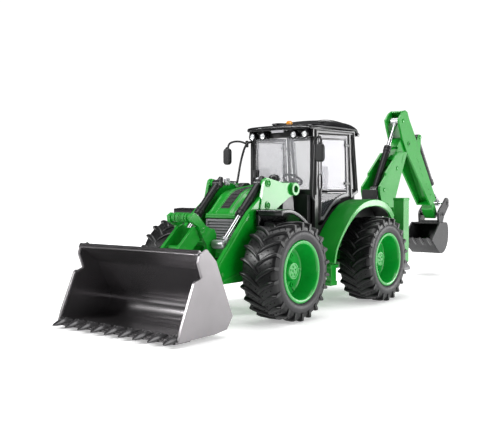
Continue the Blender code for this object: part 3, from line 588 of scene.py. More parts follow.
def lug(side, angle):
    """One curved bar: a pointed fin at the shoulder that hooks forwards near the middle of the tread."""
    rings = []
    for i in range(LUG_STATIONS):
        t = i / (LUG_STATIONS - 1)
        x = side * (SHOULDER_X + 0.6 - LUG_REACH * t)
        middle = angle + LUG_HOOK * t ** 1.7
        top = WHEEL_R - 0.3 - 1.5 * max(0, t - 0.84) / 0.16 - 0.4 * t - 1.2 * max(0, 1 - t * 6)
        foot = 41.8 + 4.6 * min(1, t * 4)
        half_top = (1.05 + 0.85 * min(1, t * 3.5)) / WHEEL_R
        half_foot = (2.1 + 1.1 * min(1, t * 4) - 0.8 * max(0, t - 0.8) / 0.2) / TREAD_R
        flank = [(foot, half_foot), (top - 1.15, half_top * 1.45), (top - 0.35, half_top), (top, half_top * 0.45)]
        outline = [(r, -turned) for r, turned in flank] + flank[::-1]
        rings.append([round_about(x, r, middle + turned) for r, turned in outline])
    return loft(rings)


def tyre_piece(piece):
    half = [(18.4, 30.1), (18.9, 32.2), (20.6, 33.6), (21.3, 36), (21.4, 38.5), (21.1, 40.6), (20.6, 42.3),
            (20.5, 43.8), (20.2, 45.6), (19.2, 47), (16.4, TREAD_R - 0.5), (9, TREAD_R)]
    section = half + [(-x, r) for x, r in reversed(half)]
    piece.ring(section, HUB, "X", 96)
    for k in range(LUGS):
        angle = 2 * math.pi * k / LUGS
        piece.add(lug(1, angle))
        piece.add(lug(-1, angle + math.pi / LUGS))
        for side, shift in ((1, 0.5), (-1, 0)):
            for x, lead in ((15, 0.1), (9.2, 0.25), (3.4, 0.55)):
                where = angle + 2 * math.pi * (shift + lead + 0.02) / LUGS
                foot = round_about(side * x, TREAD_R - 0.6, where)
                piece.rod(foot, foot + round_about(0, 1.5, where), 0.55, 8, 0.25)


def wall_piece(piece):
    """The smooth bulging side wall, on both sides of the tyre."""
    bulge = [(18.2, 31), (19.6, 31.9), (20.6, 33), (21.3, 34.6), (21.75, 36.4), (21.85, 38), (21.6, 39.8),
             (21, 41.2), (20, 42.3), (18.6, 42.6)]
    piece.twin = True
    piece.ring(bulge, HUB, "X", 96)


def rim_piece(piece):
    section = [(-20.6, 31.4), (-19.2, 31.85), (-18.2, 31.2), (-17.6, 29.9), (17.6, 29.9), (18, 31.3), (18.9, 31.85),
               (20.2, 31.7), (20.8, 30.9), (20.9, 29.6), (20.4, 28.4), (19.4, 27.8), (17.8, 27.4), (14, 26.8),
               (4, 25.6), (1.6, 25.2), (0.9, 24.2), (0.7, 22), (0.4, 13), (1.2, 11.6), (5, 10.6), (8.2, 9.4),
               (9.3, 8.9), (10, 8.2), (10.05, 6.9), (9.6, 6.6)]
    inside = [(-9, 0), (-9, 8), (-3, 9.5), (-3.4, 24.6), (-6, 26.6), (-18.5, 28.4), (-20.2, 29)]
    piece.turn([*inside, *section], HUB, "X", 72)
    boss = [(-0.6, 3.1), (1.4, 2.5), (1.7, 2.2), (1.7, 1.25), (0.5, 1.2)]
    web = ((24.5, -0.05, 2.2), (24.5, 0.05, 2.2), (20, 0.045, 0.44), (20, -0.045, 0.44))
    for k in range(6):
        angle = math.pi / 3 * k + math.pi / 2
        piece.turn(boss, round_about(0.6, 17.3, angle), "X", 20)
        piece.add(loft([[round_about(0.4 + lift * raised, r, angle + off) for r, off, lift in web]
                        for raised in (0, 1)]), 0.3)
    for k in range(5):
        piece.bolt(round_about(9.6, 4.4, 2 * math.pi * k / 5), "X", 0.95, 0.75)
    piece.turn([(9.4, 1.5), (10.2, 1.3), (10.3, 0)], HUB, "X", 16)


def make_wheels():
    kinds = {"tyre": (tyre_piece, "tread"), "rim": (rim_piece, "rim"), "tyre_wall": (wall_piece, "sidewall_sheen")}
    for kind, (build, finish) in kinds.items():
        wheel = Piece(kind)
        build(wheel)
        left = wheel.mesh()
        left.transform(Matrix.Translation((0, -AXLE_Y * MM, 0)))
        right = mirrored(left.copy())
        for end, y in (("front", 0), ("rear", WHEELBASE)):
            for side, x, mesh in (("left", TRACK_X, left), ("right", -TRACK_X, right)):
                data = mesh.copy()
                data.transform(Matrix.Translation(Vector((x, y + AXLE_Y, WHEEL_R)) * MM))
                name = f"{kind}_{end}_{side}"
                place(f"{name}_detail", data, finish, f"wheel_{end}_{side}",
                      name if name in frame["nodes"] else ())


# -------- front bucket

BUCKET_HALF = 80
TEETH = 9
TOOTH_PITCH = 18.5
BUCKET_SIDE = [(-131, 81), (-118.4, 69.5), (-95.6, 17.9), (-103.7, 6.8), (-120.3, 4.6), (-167.2, 4),
               (-163.3, 16.6), (-147.6, 52.6), (-137.8, 56), (-142.6, 69.6), (-140.2, 77.2)]
TILT_RAM_EYE = (-51, 78.5)


def make_front_bucket():
    piece = Piece("front_bucket_shell")
    # The shell is in the darker copy of the bucket paint, which is painted shade.
    wall = [(-141.5, 78.4), (-119.6, 64), (-117.6, 61.2), *arc((-119.2, 24), 19.4, 28.9, -88, 18),
            (-130, 4.4), (-167.5, 4)]
    piece.plate(strip(wall, 2.3), -BUCKET_HALF, BUCKET_HALF, 0.4)
    lip = [(-141.9, 78.9), (-139.7, 80.6), (-129.6, 73.6), (-131, 71.2)]
    piece.plate(lip, -BUCKET_HALF, BUCKET_HALF, 0.5)
    edge = [(-171, 3.3), (-169.5, 5.2), (-158, 6.6), (-152, 5), (-152, 3.3)]
    piece.plate(edge, -BUCKET_HALF - 0.6, BUCKET_HALF + 0.6, 0.3)
    piece.twin = True
    # Liners of the darker paint inside the side plates: painted shade on their inner faces.
    piece.plate(shrunk(BUCKET_SIDE, 1.2), 77.9, 79.2, 0.2)
    piece.done("bucket_painted_shade", "front_bucket", "front_bucket")
    piece = Piece("front_bucket_sides")
    piece.twin = True
    piece.plate(BUCKET_SIDE, 78.8, 80.7, 0.35)
    front_edge = [(-167.4, 4.2), (-163.5, 16.8), (-148, 52.4), (-145.3, 54.4), (-141.8, 52), (-156.4, 18.6),
                  (-159.6, 4.2)]
    piece.plate(front_edge, 78.6, 81.4, 0.35)
    brow = [(-137.6, 56.6), (-142.6, 69.6), (-140.4, 77.4), (-136.6, 76.2), (-138.4, 69.4), (-134.4, 58.6)]
    piece.plate(brow, 78.6, 81.3, 0.3)
    lug_shape = [(-103.3, 34), (-88, 31), (-81.5, 27), (-81.5, 21), (-86, 17.5), (-101, 12), (-100.4, 20)]
    piece.plate(lug_shape, 29.4, 34.1, 0.6)
    piece.pin(joint_yz("bucket_tilt"), 31, 42.5, 3)
    piece.pin(joint_yz("bucket_tilt"), 40.7, 42.8, 4.4)
    foot = [(-150, 3.6), (-110, 3.6), (-106, 6.4), (-150, 5.4)]
    piece.plate(foot, 50, 54, 0.4)
    piece.twin = False
    rib = [(-117.4, 62.6), (-114.6, 63.2), (-99.2, 35), (-96.8, 24), (-99.4, 15), (-102.6, 17), (-101, 25),
           (-103, 33)]
    for x in (-56, -18, 18, 56):
        piece.plate(rib, x - 1.4, x + 1.4, 0.4)
    tongue = [(-119.4, 62.5), (-106, 66), (-99.5, 64.5), (-98.5, 59), (-102, 56), (-110.4, 49)]
    piece.plate(tongue, -8, 8, 0.7)
    piece.done("bucket", "front_bucket")
    teeth = Piece("front_bucket_teeth")
    sections = [(-157, 3.6, 8.4, 4.2), (-162.5, 3, 9.6, 5.3), (-168, 2.6, 8.4, 5.6), (-173, 2.6, 6.4, 4.4),
                (-176.4, 2.9, 4.9, 2.5), (-177.9, 3.2, 4.1, 1)]
    for i in range(TEETH):
        x = TOOTH_PITCH * (i - (TEETH - 1) / 2)
        teeth.add(loft([oval((x, y, (low + high) / 2), half, (0, (high - low) / 2), 14)
                        for y, low, high, half in sections]))
        for bolt_x in (x - 1.9, x + 1.9):
            teeth.bolt((bolt_x, -163.5, 9), (0, -0.2, 1), 1, 0.9)
    teeth.done("tooth", "front_bucket")


# -------- front loader

def arm_details(piece):
    piece.twin = True
    face = 40.5
    collar = [(-0.5, 4.3), (0.9, 4.1), (1, 3.3), (0.2, 3.1), (0.2, 2.4), (1.3, 2.2), (1.4, 0)]
    for centre in (joint_yz("tilt_barrel_left_swing"), (10, 116.9)):
        piece.turn(collar, (face, *centre), "X", 28)
    boss = [(-4, 4.1), (-4, 7.2), (2.9, 7.2), (3.4, 6.6), (3.4, 4.4), (2.6, 4.1)]
    piece.ring(boss, (face, *joint_yz("loader_lift")), "X", 36)
    ring = [(-1.5, 3.4), (-1.5, 6), (0.9, 5.8), (1.3, 5.2), (1.3, 3.6)]
    piece.ring(ring, (39, *joint_yz("bucket_tilt")), "X", 30)
    ledge = [(-20.5, 108.6), (-66.5, 60.4), (-80.5, 38.4), (-78.9, 37.4), (-65.1, 58.8), (-19.2, 106.8)]
    piece.plate(ledge, 38.6, 40.6, 0.5)
    shadow_line = [(-4, 96), (-34, 50.5), (-60, 43.8), (-60, 42.2), (-33, 48.9), (-2.6, 95.1)]
    piece.plate(shadow_line, 38.6, 39.7, 0.3)
    for centre in ((-61.5, 49.5), (-79.5, 31.5)):
        piece.bolt((39, *centre), "X", 1.7, 1.2)


def lever_details(piece):
    for k in range(7):
        piece.turn([(-0.9, 4.4), (-0.4, 5.1), (0.4, 5.1), (0.9, 4.4)], (-7.5 + 2.5 * k, -77, 105.5), "X", 24)
    piece.twin = True
    cap = [(-0.4, 3.6), (0.8, 3.3), (0.9, 2.4), (0.3, 2.2)]
    for centre in (joint_yz("tilt_link_swing"), TILT_RAM_EYE):
        piece.turn(cap, (17, *centre), "X", 24)


def link_details(piece):
    piece.twin = True
    for centre in ((-69, 91), (-87, 75.5), (-103.4, 61)):
        piece.turn([(-0.4, 2.6), (0.15, 2.4), (0.2, 0)], (12.4, *centre), "X", 20)


def ram(name, x, base, eye, cylinder, rod_r, base_pin, eye_end, bodies, inward=0, port=False):
    """A ram: a black tube with a gland and a base eye, and a bright rod with its own eye.

    cylinder is (radius, end), base_pin and eye_end are (radius, half width), and bodies names the two bodies and then
    the two nodes. inward widens the rod's eye towards the middle of the machine.
    """
    tube_r, tube_to = cylinder
    tube_from = 3
    base_r, base_half = base_pin
    eye_r, eye_half = eye_end
    a = Vector((x, *base))
    b = Vector((x, *eye))
    run = (b - a).normalized()
    barrel = Piece(name + "_barrel")
    profile = [(tube_from, tube_r * 0.8), (tube_from + 1.5, tube_r), (tube_to - 9, tube_r),
               (tube_to - 8.6, tube_r + 0.75), (tube_to - 5.4, tube_r + 0.75), (tube_to - 5, tube_r + 0.2),
               (tube_to - 4.2, tube_r + 0.2), (tube_to - 3.8, tube_r + 0.8), (tube_to - 0.6, tube_r + 0.8),
               (tube_to, tube_r + 0.2), (tube_to, rod_r + 0.25), (tube_to - 3, rod_r + 0.25),
               (tube_to - 3.4, rod_r + 0.7), (tube_from + 4, rod_r + 0.7)]
    barrel.turn(profile, a, run, 32)
    barrel.pin(base, x - base_half, x + base_half, base_r)
    if port:
        barrel.add(tube([a - run * 2, a - run * 6, a - run * 8.5 + Vector((0, -0.5, 1.5))],
                        [base_r * 0.8, base_r * 0.72, base_r * 0.5], 14), 0.5)
    barrel.done("black", bodies[0], bodies[2])
    bright = Piece(name + "_rod")
    bright.rod(a + run * (tube_to - 18), b - run * (eye_r * 0.6), rod_r, 28, 0.2)
    bright.done("steel", bodies[1], bodies[3])
    end = Piece(name + "_eye")
    low, high = x - eye_half, x + eye_half
    if inward:
        low, high = (low - inward, high) if x > 0 else (low, high + inward)
    shape = [(0, eye_r - 0.9), (0.9, eye_r), (high - low - 0.9, eye_r), (high - low, eye_r - 0.9),
             (high - low, 2.1), (high - low - 1.6, 1.9)]
    end.turn(shape, (low, *eye), "X", 32)
    end.turn([(0, rod_r + 1.1), (3.4, rod_r + 1.1), (4.2, rod_r)], b - run * (eye_r + 3.4), run, 24)
    end.done("cast", bodies[1])


def make_loader():
    refined("loader_arms", "green", "loader_arms", 0.7, arm_details)
    refined("tilt_lever", "green", "tilt_lever", 0.6, lever_details)
    refined("tilt_link", "green", "tilt_link", 0.6, link_details)
    base = joint_yz("tilt_barrel_left_swing")
    for side, x in (("left", 29), ("right", -29)):
        bodies = [f"tilt_{part}_{side}" for part in ("barrel", "rod", "ram_barrel", "ram_rod")]
        ram("tilt_ram_" + side, x, base, TILT_RAM_EYE, (4.4, 48), 2.8, (4.6, 4.6), (4.6, 5), bodies, 5.5, port=True)
    spring = Piece("lever_spring")
    spring.twin = True
    coil = []
    for i in range(7 * 12 + 1):
        angle = 2 * math.pi * i / 12
        coil.append((23.5 + 2.6 * math.cos(angle), -45.5 + 2.6 * math.sin(angle), 53 + 1.75 * i / 12))
    spring.tube(coil, 0.62, 8)
    spring.rod((23.5, -45.5, 50.5), (23.5, -45.5, 67.5), 1.5, 16)
    spring.done("trim", "loader_arms")


# -------- plain frame pieces

def make_frame_pieces():
    refined("chassis_frame", "green", "chassis", 0.8, chassis_details)
    refined("engine_block", "trim", "chassis", 0.8, engine_details)
    refined("front_axle_beam", "green", "chassis", 0.6)
    for side in ("left", "right"):
        refined(f"steering_knuckle_{side}", "black", f"knuckle_{side}", 0.5)
        refined(f"loader_tower_{side}", "black", "chassis", 0.8)


def chassis_details(piece):
    piece.twin = True
    for z in (29.2, 48.2):
        for k in range(6):
            x = 34 + 4.4 * k
            piece.block(x, x + 1.8, 104.6, 115.6, z - 0.6, z + 0.5, 0.2)
    for y in (-6, 30, 128, 206):
        piece.bolt((22, y, 66 if y < 200 else 60), "X", 2, 1.4)


def engine_details(piece):
    piece.twin = True
    for k in range(4):
        y = 4 + 13 * k
        piece.rod((13, y, 92), (18.5, y, 84), 2.2, 16)
    piece.pin((26, 79), 14, 19, 6.5)
    piece.twin = False
    for k in range(6):
        z = 76 + 3.6 * k
        piece.block(-16.2, 16.2, 56, 60, z, z + 1.6, 0.2)


# -------- bodywork

HOOD_FLOOR = 103.6


def hood_crown(y):
    """Height of the bonnet's middle line."""
    marks = [(-19.6, 105.6), (-19, 107.6), (-17, 109.7), (-14, 111.9), (-4, 120.6), (6, 128.9), (14, 132.8),
             (30, 136), (45, 138), (60, 140), (79.6, 142.2)]
    for (y0, z0), (y1, z1) in zip(marks, marks[1:]):
        if y <= y1:
            return z0 + (z1 - z0) * (y - y0) / (y1 - y0)
    return marks[-1][1]


def hood_half(y):
    share = min(1, max(0, (y + 16) / 32))
    return 20.6 + 2.9 * (3 * share ** 2 - 2 * share ** 3)


def hood_section(y):
    crown = hood_crown(y)
    half = hood_half(y)
    drop = min(1, (crown - HOOD_FLOOR) / 10)
    outer = [(0, 0), (6.9, 0), (7.5, -1), (10.6, -1), (12, 0.5), (half - 5.2, 1.2), (half - 3.4, 0.5),
             (half - 1, 1.4), (half, 3.6), (half, 7.5)]
    right = [(x, crown - fall * drop) for x, fall in outer]
    right += [(half, HOOD_FLOOR), (half - 2.2, HOOD_FLOOR), (half - 2.2, crown - 8 * drop),
              (half - 5.4, crown - 4.6 * drop)]
    under = [(0, crown - 3.6 * drop)]
    ring = [(x, y, z) for x, z in right + under]
    return ring + [(-x, y, z) for x, z in reversed(right[1:])]


def make_hood():
    piece = Piece("hood_shell")
    stations = [-19.6, -19, -17.6, -16, -14, -10, -6, -2, 2, 6, 10, 14, 20, 26, 32, 40, 50, 60, 70, 79.6]
    piece.add(loft([hood_section(y) for y in stations]), 0.25)
    lip = [(-20, 103.2), (-20, 107.2), (-18.6, 108.8), (-16.4, 107.2), (-16.4, 103.2)]
    piece.plate(lip, -20.4, 20.4, 1, 3)
    piece.twin = True
    panel = [(22, 106.5), (22, 124), (34, 129.5), (74, 132.5), (74, 106.5)]
    piece.plate(panel, 22.6, 24.3, 0.6)
    piece.rod((8, 79.6, 141.5), (17, 79.6, 141.5), 1.5)
    piece.done("green", "hood", "hood")
    vent = Piece("hood_vent")
    line = [(y, hood_crown(y) + 0.25) for y in (-12, -6, 0, 6, 10, 14, 20, 26, 32, 38)]
    vent.plate(strip(line, 1.2), -6.2, 6.2, 0.2)
    for k in range(9):
        y = -9 + 5 * k
        vent.rod((-5.2, y, hood_crown(y) + 0.2), (5.2, y, hood_crown(y) + 0.2), 0.75, 10, 0.3)
    vent.done("trim", "hood")
    cleaner = Piece("air_cleaner")
    bowl = [(-3, 3), (2, 3.2), (3, 5.2), (5.6, 6.2), (8.4, 5.6), (10.2, 3.6), (10.9, 0)]
    cleaner.turn(bowl, (12.5, 60, 140.5), "Z", 32)
    cleaner.studs((12.5, 60, 144.6), 5.9, 3.2, 0.55, 0.2)
    cleaner.done("gloss", "hood")
    make_hose_blocks()


def make_hose_blocks():
    """Two small blocks with hose stubs, seen above the bonnet's rear half."""
    piece = Piece("hose_blocks")
    for side in (-1, 1):
        piece.block(*span(side, 20.5, 24.5), 15, 22, 138.5, 146.5, 0.8)
        for z in (140.2, 144.6):
            piece.rod((side * 19.4, 18.6, z), (side * 25.4, 18.6, z), 1.2, 16)
        piece.tube(smooth_line([(side * 22.5, 22, 142), (side * 22.5, 30, 141), (side * 22.5, 38, 137.5)], 4),
                   1, 10)
    piece.done("cast", "hood")


def make_grille():
    piece = Piece("grille_slats")
    piece.block(-20, 20, -17.6, -15, 72.6, 102.4, 0.5)
    piece.twin = True
    piece.block(17.4, 20, -19.6, -15.4, 72.8, 102.2, 0.6)
    piece.twin = False
    for z in (73.4, 101.6):
        piece.block(-19.8, 19.8, -19.6, -15.4, z - 0.7, z + 0.7, 0.3)
    for k in range(9):
        z = 76.4 + 3 * k
        slat = [(-17.4, z - 0.9), (-19.5, z - 0.5), (-19.7, z + 0.2), (-19.2, z + 0.8), (-17.4, z + 0.9)]
        piece.plate(slat, -17.6, 17.6, 0.2)
    piece.done("slats", "chassis", "radiator_grille")
    brow = Piece("grille_brow")
    brow.block(-20.4, 20.4, -18.6, -15, 102.5, 103.1, 0.15)
    brow.twin = True
    brow.block(15.5, 20.2, -15, 18, 72.6, 103, 0.8)
    brow.done("trim", "chassis")


def front_fender(piece):
    line = smooth_line([(-12, 112.6), (4, 113.2), (20, 108.6), (35, 99.8), (47, 88)], 7)
    piece.plate(strip(line, 2.2), 42, 74.6, 0.5)
    piece.plate(strip([(y, z + 0.15) for y, z in line if y < 40], 4.4), 71.6, 75, 1.1, 3)
    wall = [(-12.2, 95), (-12.2, 112.4), (4, 112.4), (20, 107.6), (35, 98.6), (44, 91.4), (40, 91)]
    piece.plate(wall, 42, 44.6, 0.5)
    piece.block(42, 46.6, -12.6, -8.6, 96, 112.7, 1, 3)
    piece.block(42.2, 75, -12.6, -8.8, 106.6, 112.9, 1.1, 3)
    piece.block(42.1, 44.3, 40, 84.2, 90, 95.4, 0.6)
    for y in (50, 74):
        piece.bolt((44.3, y, 92.7), "X", 1.6, 1.1)


def rear_fender_line(steps=5):
    return smooth_line([(88, 52), (93, 68), (105, 84), (120, 99), (136, 111), (154, 119), (176, 122.5),
                        (198, 121), (218, 114), (232, 102)], steps)


def rear_fender(piece):
    line = rear_fender_line()
    piece.plate(strip(line, 2.6), 45, 74.4, 0.6)
    depths = [3.6 + 4.6 * min(1, max(0, (y - 100) / 70)) for y, z in line]
    piece.plate(strip(line, depths), 72.2, 75, 0.9, 3)
    for low, high in (((93.6, 60), (101.4, 75.6)), ((103.4, 79), (113.6, 90))):
        (y0, z0), (y1, z1) = low, high
        run = Vector((y1 - y0, z1 - z0)).normalized()
        off = Vector((-run.y, run.x)) * 1.1
        leaf = [(y0 - off.x, z0 - off.y), (y0 + off.x, z0 + off.y), (y1 + off.x, z1 + off.y),
                (y1 - off.x, z1 - off.y)]
        piece.plate(leaf, 52, 66, 0.8)


def rear_arch_painted_shade(piece):
    """A black lining inside the wheel arch: painted shade, as the arch there is dark only from shade."""
    line = [(y, z - 2.2) for y, z in rear_fender_line()][3:-1]
    piece.plate(strip(line, 1.6), 47, 72.4, 0.3)
    inside = [(y, z - 0.8) for y, z in rear_fender_line(3)]
    under = [(236, 92), (214, 88), (200, 76), (166, 76), (128, 76), (118, 60), (108, 50)]
    piece.plate([*inside, *under], 45.2, 48.4, 0.6)


def make_fenders():
    bodies = ("chassis", "chassis")
    pair("front_fender_shell", front_fender, "gloss", bodies, ("front_fender_left", "front_fender_right"))
    pair("rear_fender_shell", rear_fender, "green", bodies, ("rear_fender_left", "rear_fender_right"))
    # The black arch linings are painted shade.
    pair("rear_arch_painted_shade", rear_arch_painted_shade, "trim", bodies)


# -------- cab

LAMP_X = (22.2, 37.6)
LAMP_YZ = (83.6, 197)
BEACON = (0, 107, 211.2)


def roof_section(y, half, low, high):
    right = [(half - 1.4, low - 0.9), (half, low), (half + 0.3, low + 1.4), (half - 0.3, low + 2.7)]
    for k in range(1, 8):
        share = k / 8
        x = (half - 1.5) * math.cos(share * math.pi / 2)
        right.append((x, low + 2.9 + (high - low - 2.9) * math.sin(share * math.pi / 2) ** 0.75))
    ring = [(x, y, z) for x, z in right] + [(0, y, high)]
    return ring + [(-x, y, z) for x, z in reversed(right)]


def make_roof():
    marks = [(84, 45, 203.8, 207.3), (87, 47, 204.8, 209), (95, 48.4, 205.9, 210.2), (112, 48.7, 205.9, 211.2),
             (122, 48.7, 206.1, 214.2), (131, 48.7, 206.3, 217.2), (145, 48.7, 206.4, 218.8),
             (172, 48.2, 206.5, 218.6), (186, 46.2, 206.3, 214), (194, 43.5, 203.4, 208.6), (196.8, 42, 202.2, 205.6)]
    piece = Piece("roof_shell")
    piece.add(loft([roof_section(*mark) for mark in smooth_line(marks, 4)]))
    for side in (-1, 1):
        rail = smooth_line([(side * 33, 118, 214.4), (side * 33.5, 132, 216.2), (side * 33, 150, 217),
                            (side * 31, 174, 216.4)])
        piece.tube(rail, 1, 10)
    piece.twin = True
    cowl = [(x * 11.8, z) for x, z in arc((0, 0), 1, 0, 180, 14)]
    outer = [(29.9 + x, 198.4 + z * 9.2) for x, z in cowl]
    inner = [(29.9 + x * 0.86, 198.4 + z * 7.6) for x, z in reversed(cowl)]
    piece.front(outer + inner, 82.6, 93, 0.45)
    piece.block(38, 44, 192, 197, 200.6, 204.6, 0.8)
    piece.twin = False
    visor = [(-44.5, 203.6), (-44.5, 205.4), (-12, 206.8), (12, 206.8), (44.5, 205.4), (44.5, 203.6), (14, 203),
             (-14, 203)]
    piece.front(visor, 82.4, 86, 0.6)
    piece.turn([(-1, 2.4), (1.2, 2.2), (2.2, 1.2), (2.4, 0)], (-9, 90, 209.6), "Z", 20)
    piece.done("gloss", "chassis", "cab_roof")
    plate = Piece("roof_plate")
    plate.front([(-8.5, 200.2), (8.5, 200.2), (9, 204.4), (-9, 204.4)], 82.7, 84.4, 0.4)
    plate.done("blank", "chassis")
    dome = Piece("beacon_dome")
    dome.turn([(0.4, 3.7), (2.6, 3.6), (3.9, 3), (4.6, 1.8), (4.85, 0)], BEACON, "Z", 32)
    dome.studs((0, 107, 211.8), 3.45, 2.2, 0.4, 0.15)
    dome.done("amber", "chassis", "beacon")
    foot = Piece("beacon_foot")
    foot.turn([(-1.2, 4.6), (0.1, 4.4), (0.5, 3.9)], BEACON, "Z", 32)
    foot.done("gloss", "chassis")


def lamp_bar(piece):
    piece.block(17, 46, 88.4, 91.8, 194, 203.6, 0.6)
    cup = [(6.4, 3), (3, 4.5), (0.5, 4.75), (-0.6, 4.6), (-0.8, 4.1), (-0.5, 3.5), (0.8, 3.3), (1.2, 0)]
    for x in LAMP_X:
        piece.turn(cup, (x, *LAMP_YZ), "Y", 32)


def lamp_mirror(piece):
    for x in LAMP_X:
        piece.turn([(1.1, 3.3), (0.3, 3.3), (0.6, 2.3), (0.9, 1.3), (0.95, 0)], (x, *LAMP_YZ), "Y", 28)
        piece.turn([(0.9, 0.95), (-0.1, 0.85), (-0.5, 0.4), (-0.55, 0)], (x, *LAMP_YZ), "Y", 16)


def lamp_lens(piece):
    for x in LAMP_X:
        piece.turn([(0.2, 3.4), (-0.3, 3.3), (-0.75, 2.3), (-1, 1.2), (-1.1, 0)], (x, *LAMP_YZ), "Y", 28)


def make_lamps():
    bodies = ("chassis", "chassis")
    pair("lamp_housings", lamp_bar, "gloss", bodies, ("work_lights_left", "work_lights_right"))
    pair("lamp_mirrors", lamp_mirror, "mirror", bodies)
    pair("lamp_lenses", lamp_lens, "lens", bodies)


def frame_details(piece):
    bow = [(0, 192), (-6, 190), (-12, 184), (-19, 168), (-24, 150), (-28, 134), (-26, 126), (-8, 122)]
    for side, reach in ((-1, 1), (1, 0.22)):
        rail = smooth_line([(side * 46.4, 92 + out * reach, z) for out, z in bow], 5)
        piece.tube(rail, 1.35, 12)
        if side < 0:
            piece.tube([(side * 46.3, 66.8, 143), (side * 46, 59, 143.4), (side * 45.4, 52, 143.6)], 0.9, 10)
        gutter = [(side * 46.9, 93.4, 128), (side * 47, 93.6, 202), (side * 47, 176.4, 203.4),
                  (side * 46.9, 186.6, 133)]
        piece.tube(gutter, 0.7, 8)
        piece.block(*span(side, 43.6, 46.6), 92, 99, 84, 88, 0.6)
    for x in (-40.6, 40.6):
        piece.block(x - 1.3, x + 1.3, 92.2, 94.4, 132.4, 196, 0.4)


def make_cab():
    refined("cab_frame", "black", "chassis", 0.6, frame_details)
    refined("cab_tub", "trim", "chassis", 0.9, tub_details)
    seat = Piece("seat_shape")
    seat.plate([(142, 109), (141, 113), (143, 116.4), (150, 115.4), (162, 115.8), (170, 117.4), (172, 112),
                (171, 108.6)], -13, 13, 2, 3)
    seat.plate([(165.6, 112), (167.4, 122), (166.2, 138), (168, 152), (171, 163.4), (174.6, 164.6),
                (177.6, 155), (174.8, 140), (175, 124), (173.4, 112)], -12, 12, 1.8, 3)
    for side in (-1, 1):
        seat.tube(smooth_line([(side * 14.6, 168, 122), (side * 15, 158, 126.4), (side * 15, 146, 125.4)], 4),
                  1.5, 10)
    seat.done("trim", "chassis", "driver_seat")
    make_steering()
    for name in ("windscreen", "rear_window"):
        refined(name, "glass", "chassis", 0, name=name + "_pane")


def tub_details(piece):
    piece.twin = True
    console = [(100, 129.5), (100, 96), (112, 96), (124, 106), (140, 114), (158, 121), (158, 124), (146, 122),
               (132, 117.4), (118, 122)]
    piece.plate(console, 30, 41, 0.8)
    piece.twin = False
    piece.tube([(0, 103, 124), (0, 108, 133), (0, 113.4, 144)], 2, 14)
    for x in (-18, 18):
        piece.rod((x, 132, 84), (x, 134, 122), 0.9, 10)
        piece.turn([(-2, 1.6), (0, 2.1), (2, 1.5), (2.6, 0)], (x, 134, 123), "Z", 16)
    for k in range(4):
        piece.rod((-24 + 6 * k, 100.4, 125.6), (-24 + 6 * k, 102, 129), 0.9, 12)


def make_steering():
    joint = JOINTS["steering_wheel_turn"]
    centre = Vector(joint["pos_m"]) / MM - Vector((0, AXLE_Y, 0))
    axis = Vector(joint["axis"]).normalized()
    across = Vector((1, 0, 0))
    up = axis.cross(across)
    piece = Piece("steering_shape")

    def rim_point(angle, r, lift=0):
        return centre + (across * math.cos(angle) + up * math.sin(angle)) * r + axis * lift

    ring = [rim_point(2 * math.pi * k / 40, 11.5) for k in range(40)]
    piece.tube(ring, 1.35, 12, closed=True)
    for degrees in (30, 150, 270):
        angle = math.radians(degrees)
        piece.tube([rim_point(angle, 1.5, -1.2), rim_point(angle, 7, -0.9), rim_point(angle, 11, 0)],
                   [1.5, 1.1, 1], 10)
    piece.turn([(-5.6, 1.9), (-2.4, 2.1), (-2, 3.2), (0.6, 3), (1.4, 2.2), (1.6, 0)], centre, axis, 24)
    piece.done("gloss", "steering_wheel", "steering_wheel")


def framed(outline, width, x0, x1):
    """A flat frame of a width, inside the outline."""
    inner = shrunk(outline, width)
    rings = []
    for points, x in ((outline, x0), (outline, x1), (inner, x1), (inner, x0)):
        rings.append([(x, y, z) for y, z in points])
    return loft(rings, closed=True)


def shrunk(outline, by):
    """The outline moved inwards by a distance."""
    made = []
    count = len(outline)
    area = sum(outline[i][0] * outline[(i + 1) % count][1] - outline[(i + 1) % count][0] * outline[i][1]
               for i in range(count))
    turned_in = 1 if area > 0 else -1
    for i in range(count):
        p0, p1, p2 = (Vector(outline[(i + k) % count]) for k in (-1, 0, 1))
        a = (p1 - p0).normalized()
        b = (p2 - p1).normalized()
        inward = Vector((-a.y - b.y, a.x + b.x)) * turned_in
        scale = by / max(0.35, inward.length / 2) / inward.length
        made.append(tuple(p1 + inward * scale))
    return made


DOOR = [(99.2, 98.3), *smooth_line([(110, 98.3), (122, 108.8), (134, 117.4), (150, 123.7), (168, 126.3)], 3),
        (163.6, 200), (99.2, 197.5)]
WINDOW = [(104.4, 133), (162, 133), (159.2, 194.8), (104.4, 192.8)]
LOWER_WINDOW = [(104.4, 103.6), (110, 103.8), (122, 113.6), (136, 122.6), (150, 127.4), (161, 129.2),
                (160.8, 130.6), (104.4, 130.6)]


def door_rim(piece):
    piece.add(framed(DOOR, 4.6, 45, 46.5), 0.3)


def door_lines(piece):
    for outline in (WINDOW, LOWER_WINDOW):
        piece.add(framed(outline, 1.3, 44.8, 47), 0.3)
    piece.add(framed(DOOR, 1, 44.8, 46.9), 0.3)
    for z in (140, 186):
        piece.block(45.4, 48, 156, 167.2, z, z + 3.2, 0.6)
        piece.pin((165.6, z + 1.6), 45.2, 48.4, 1.5)
    card = [(105, 104.4), (111, 105.4), (122, 114.6), (134, 122.2), (128, 130.2), (105, 130.2)]
    piece.plate(card, 44.2, 44.9, 0.2)
    piece.block(46.6, 48.4, 101, 103.2, 126, 134, 0.5)
    piece.tube(smooth_line([(47.2, 102, 134), (49, 102, 138), (49, 102, 148), (47.2, 102, 152)], 4), 0.8, 10)
    piece.tube([(47.3, 101.6, 99), (47.3, 101.6, 126)], 0.8, 8)


def upper_pane(piece):
    piece.plate(shrunk(WINDOW, 0.9), 45.3, 46.1)


def lower_pane(piece):
    piece.plate(shrunk(LOWER_WINDOW, 0.9), 45.3, 46.1)


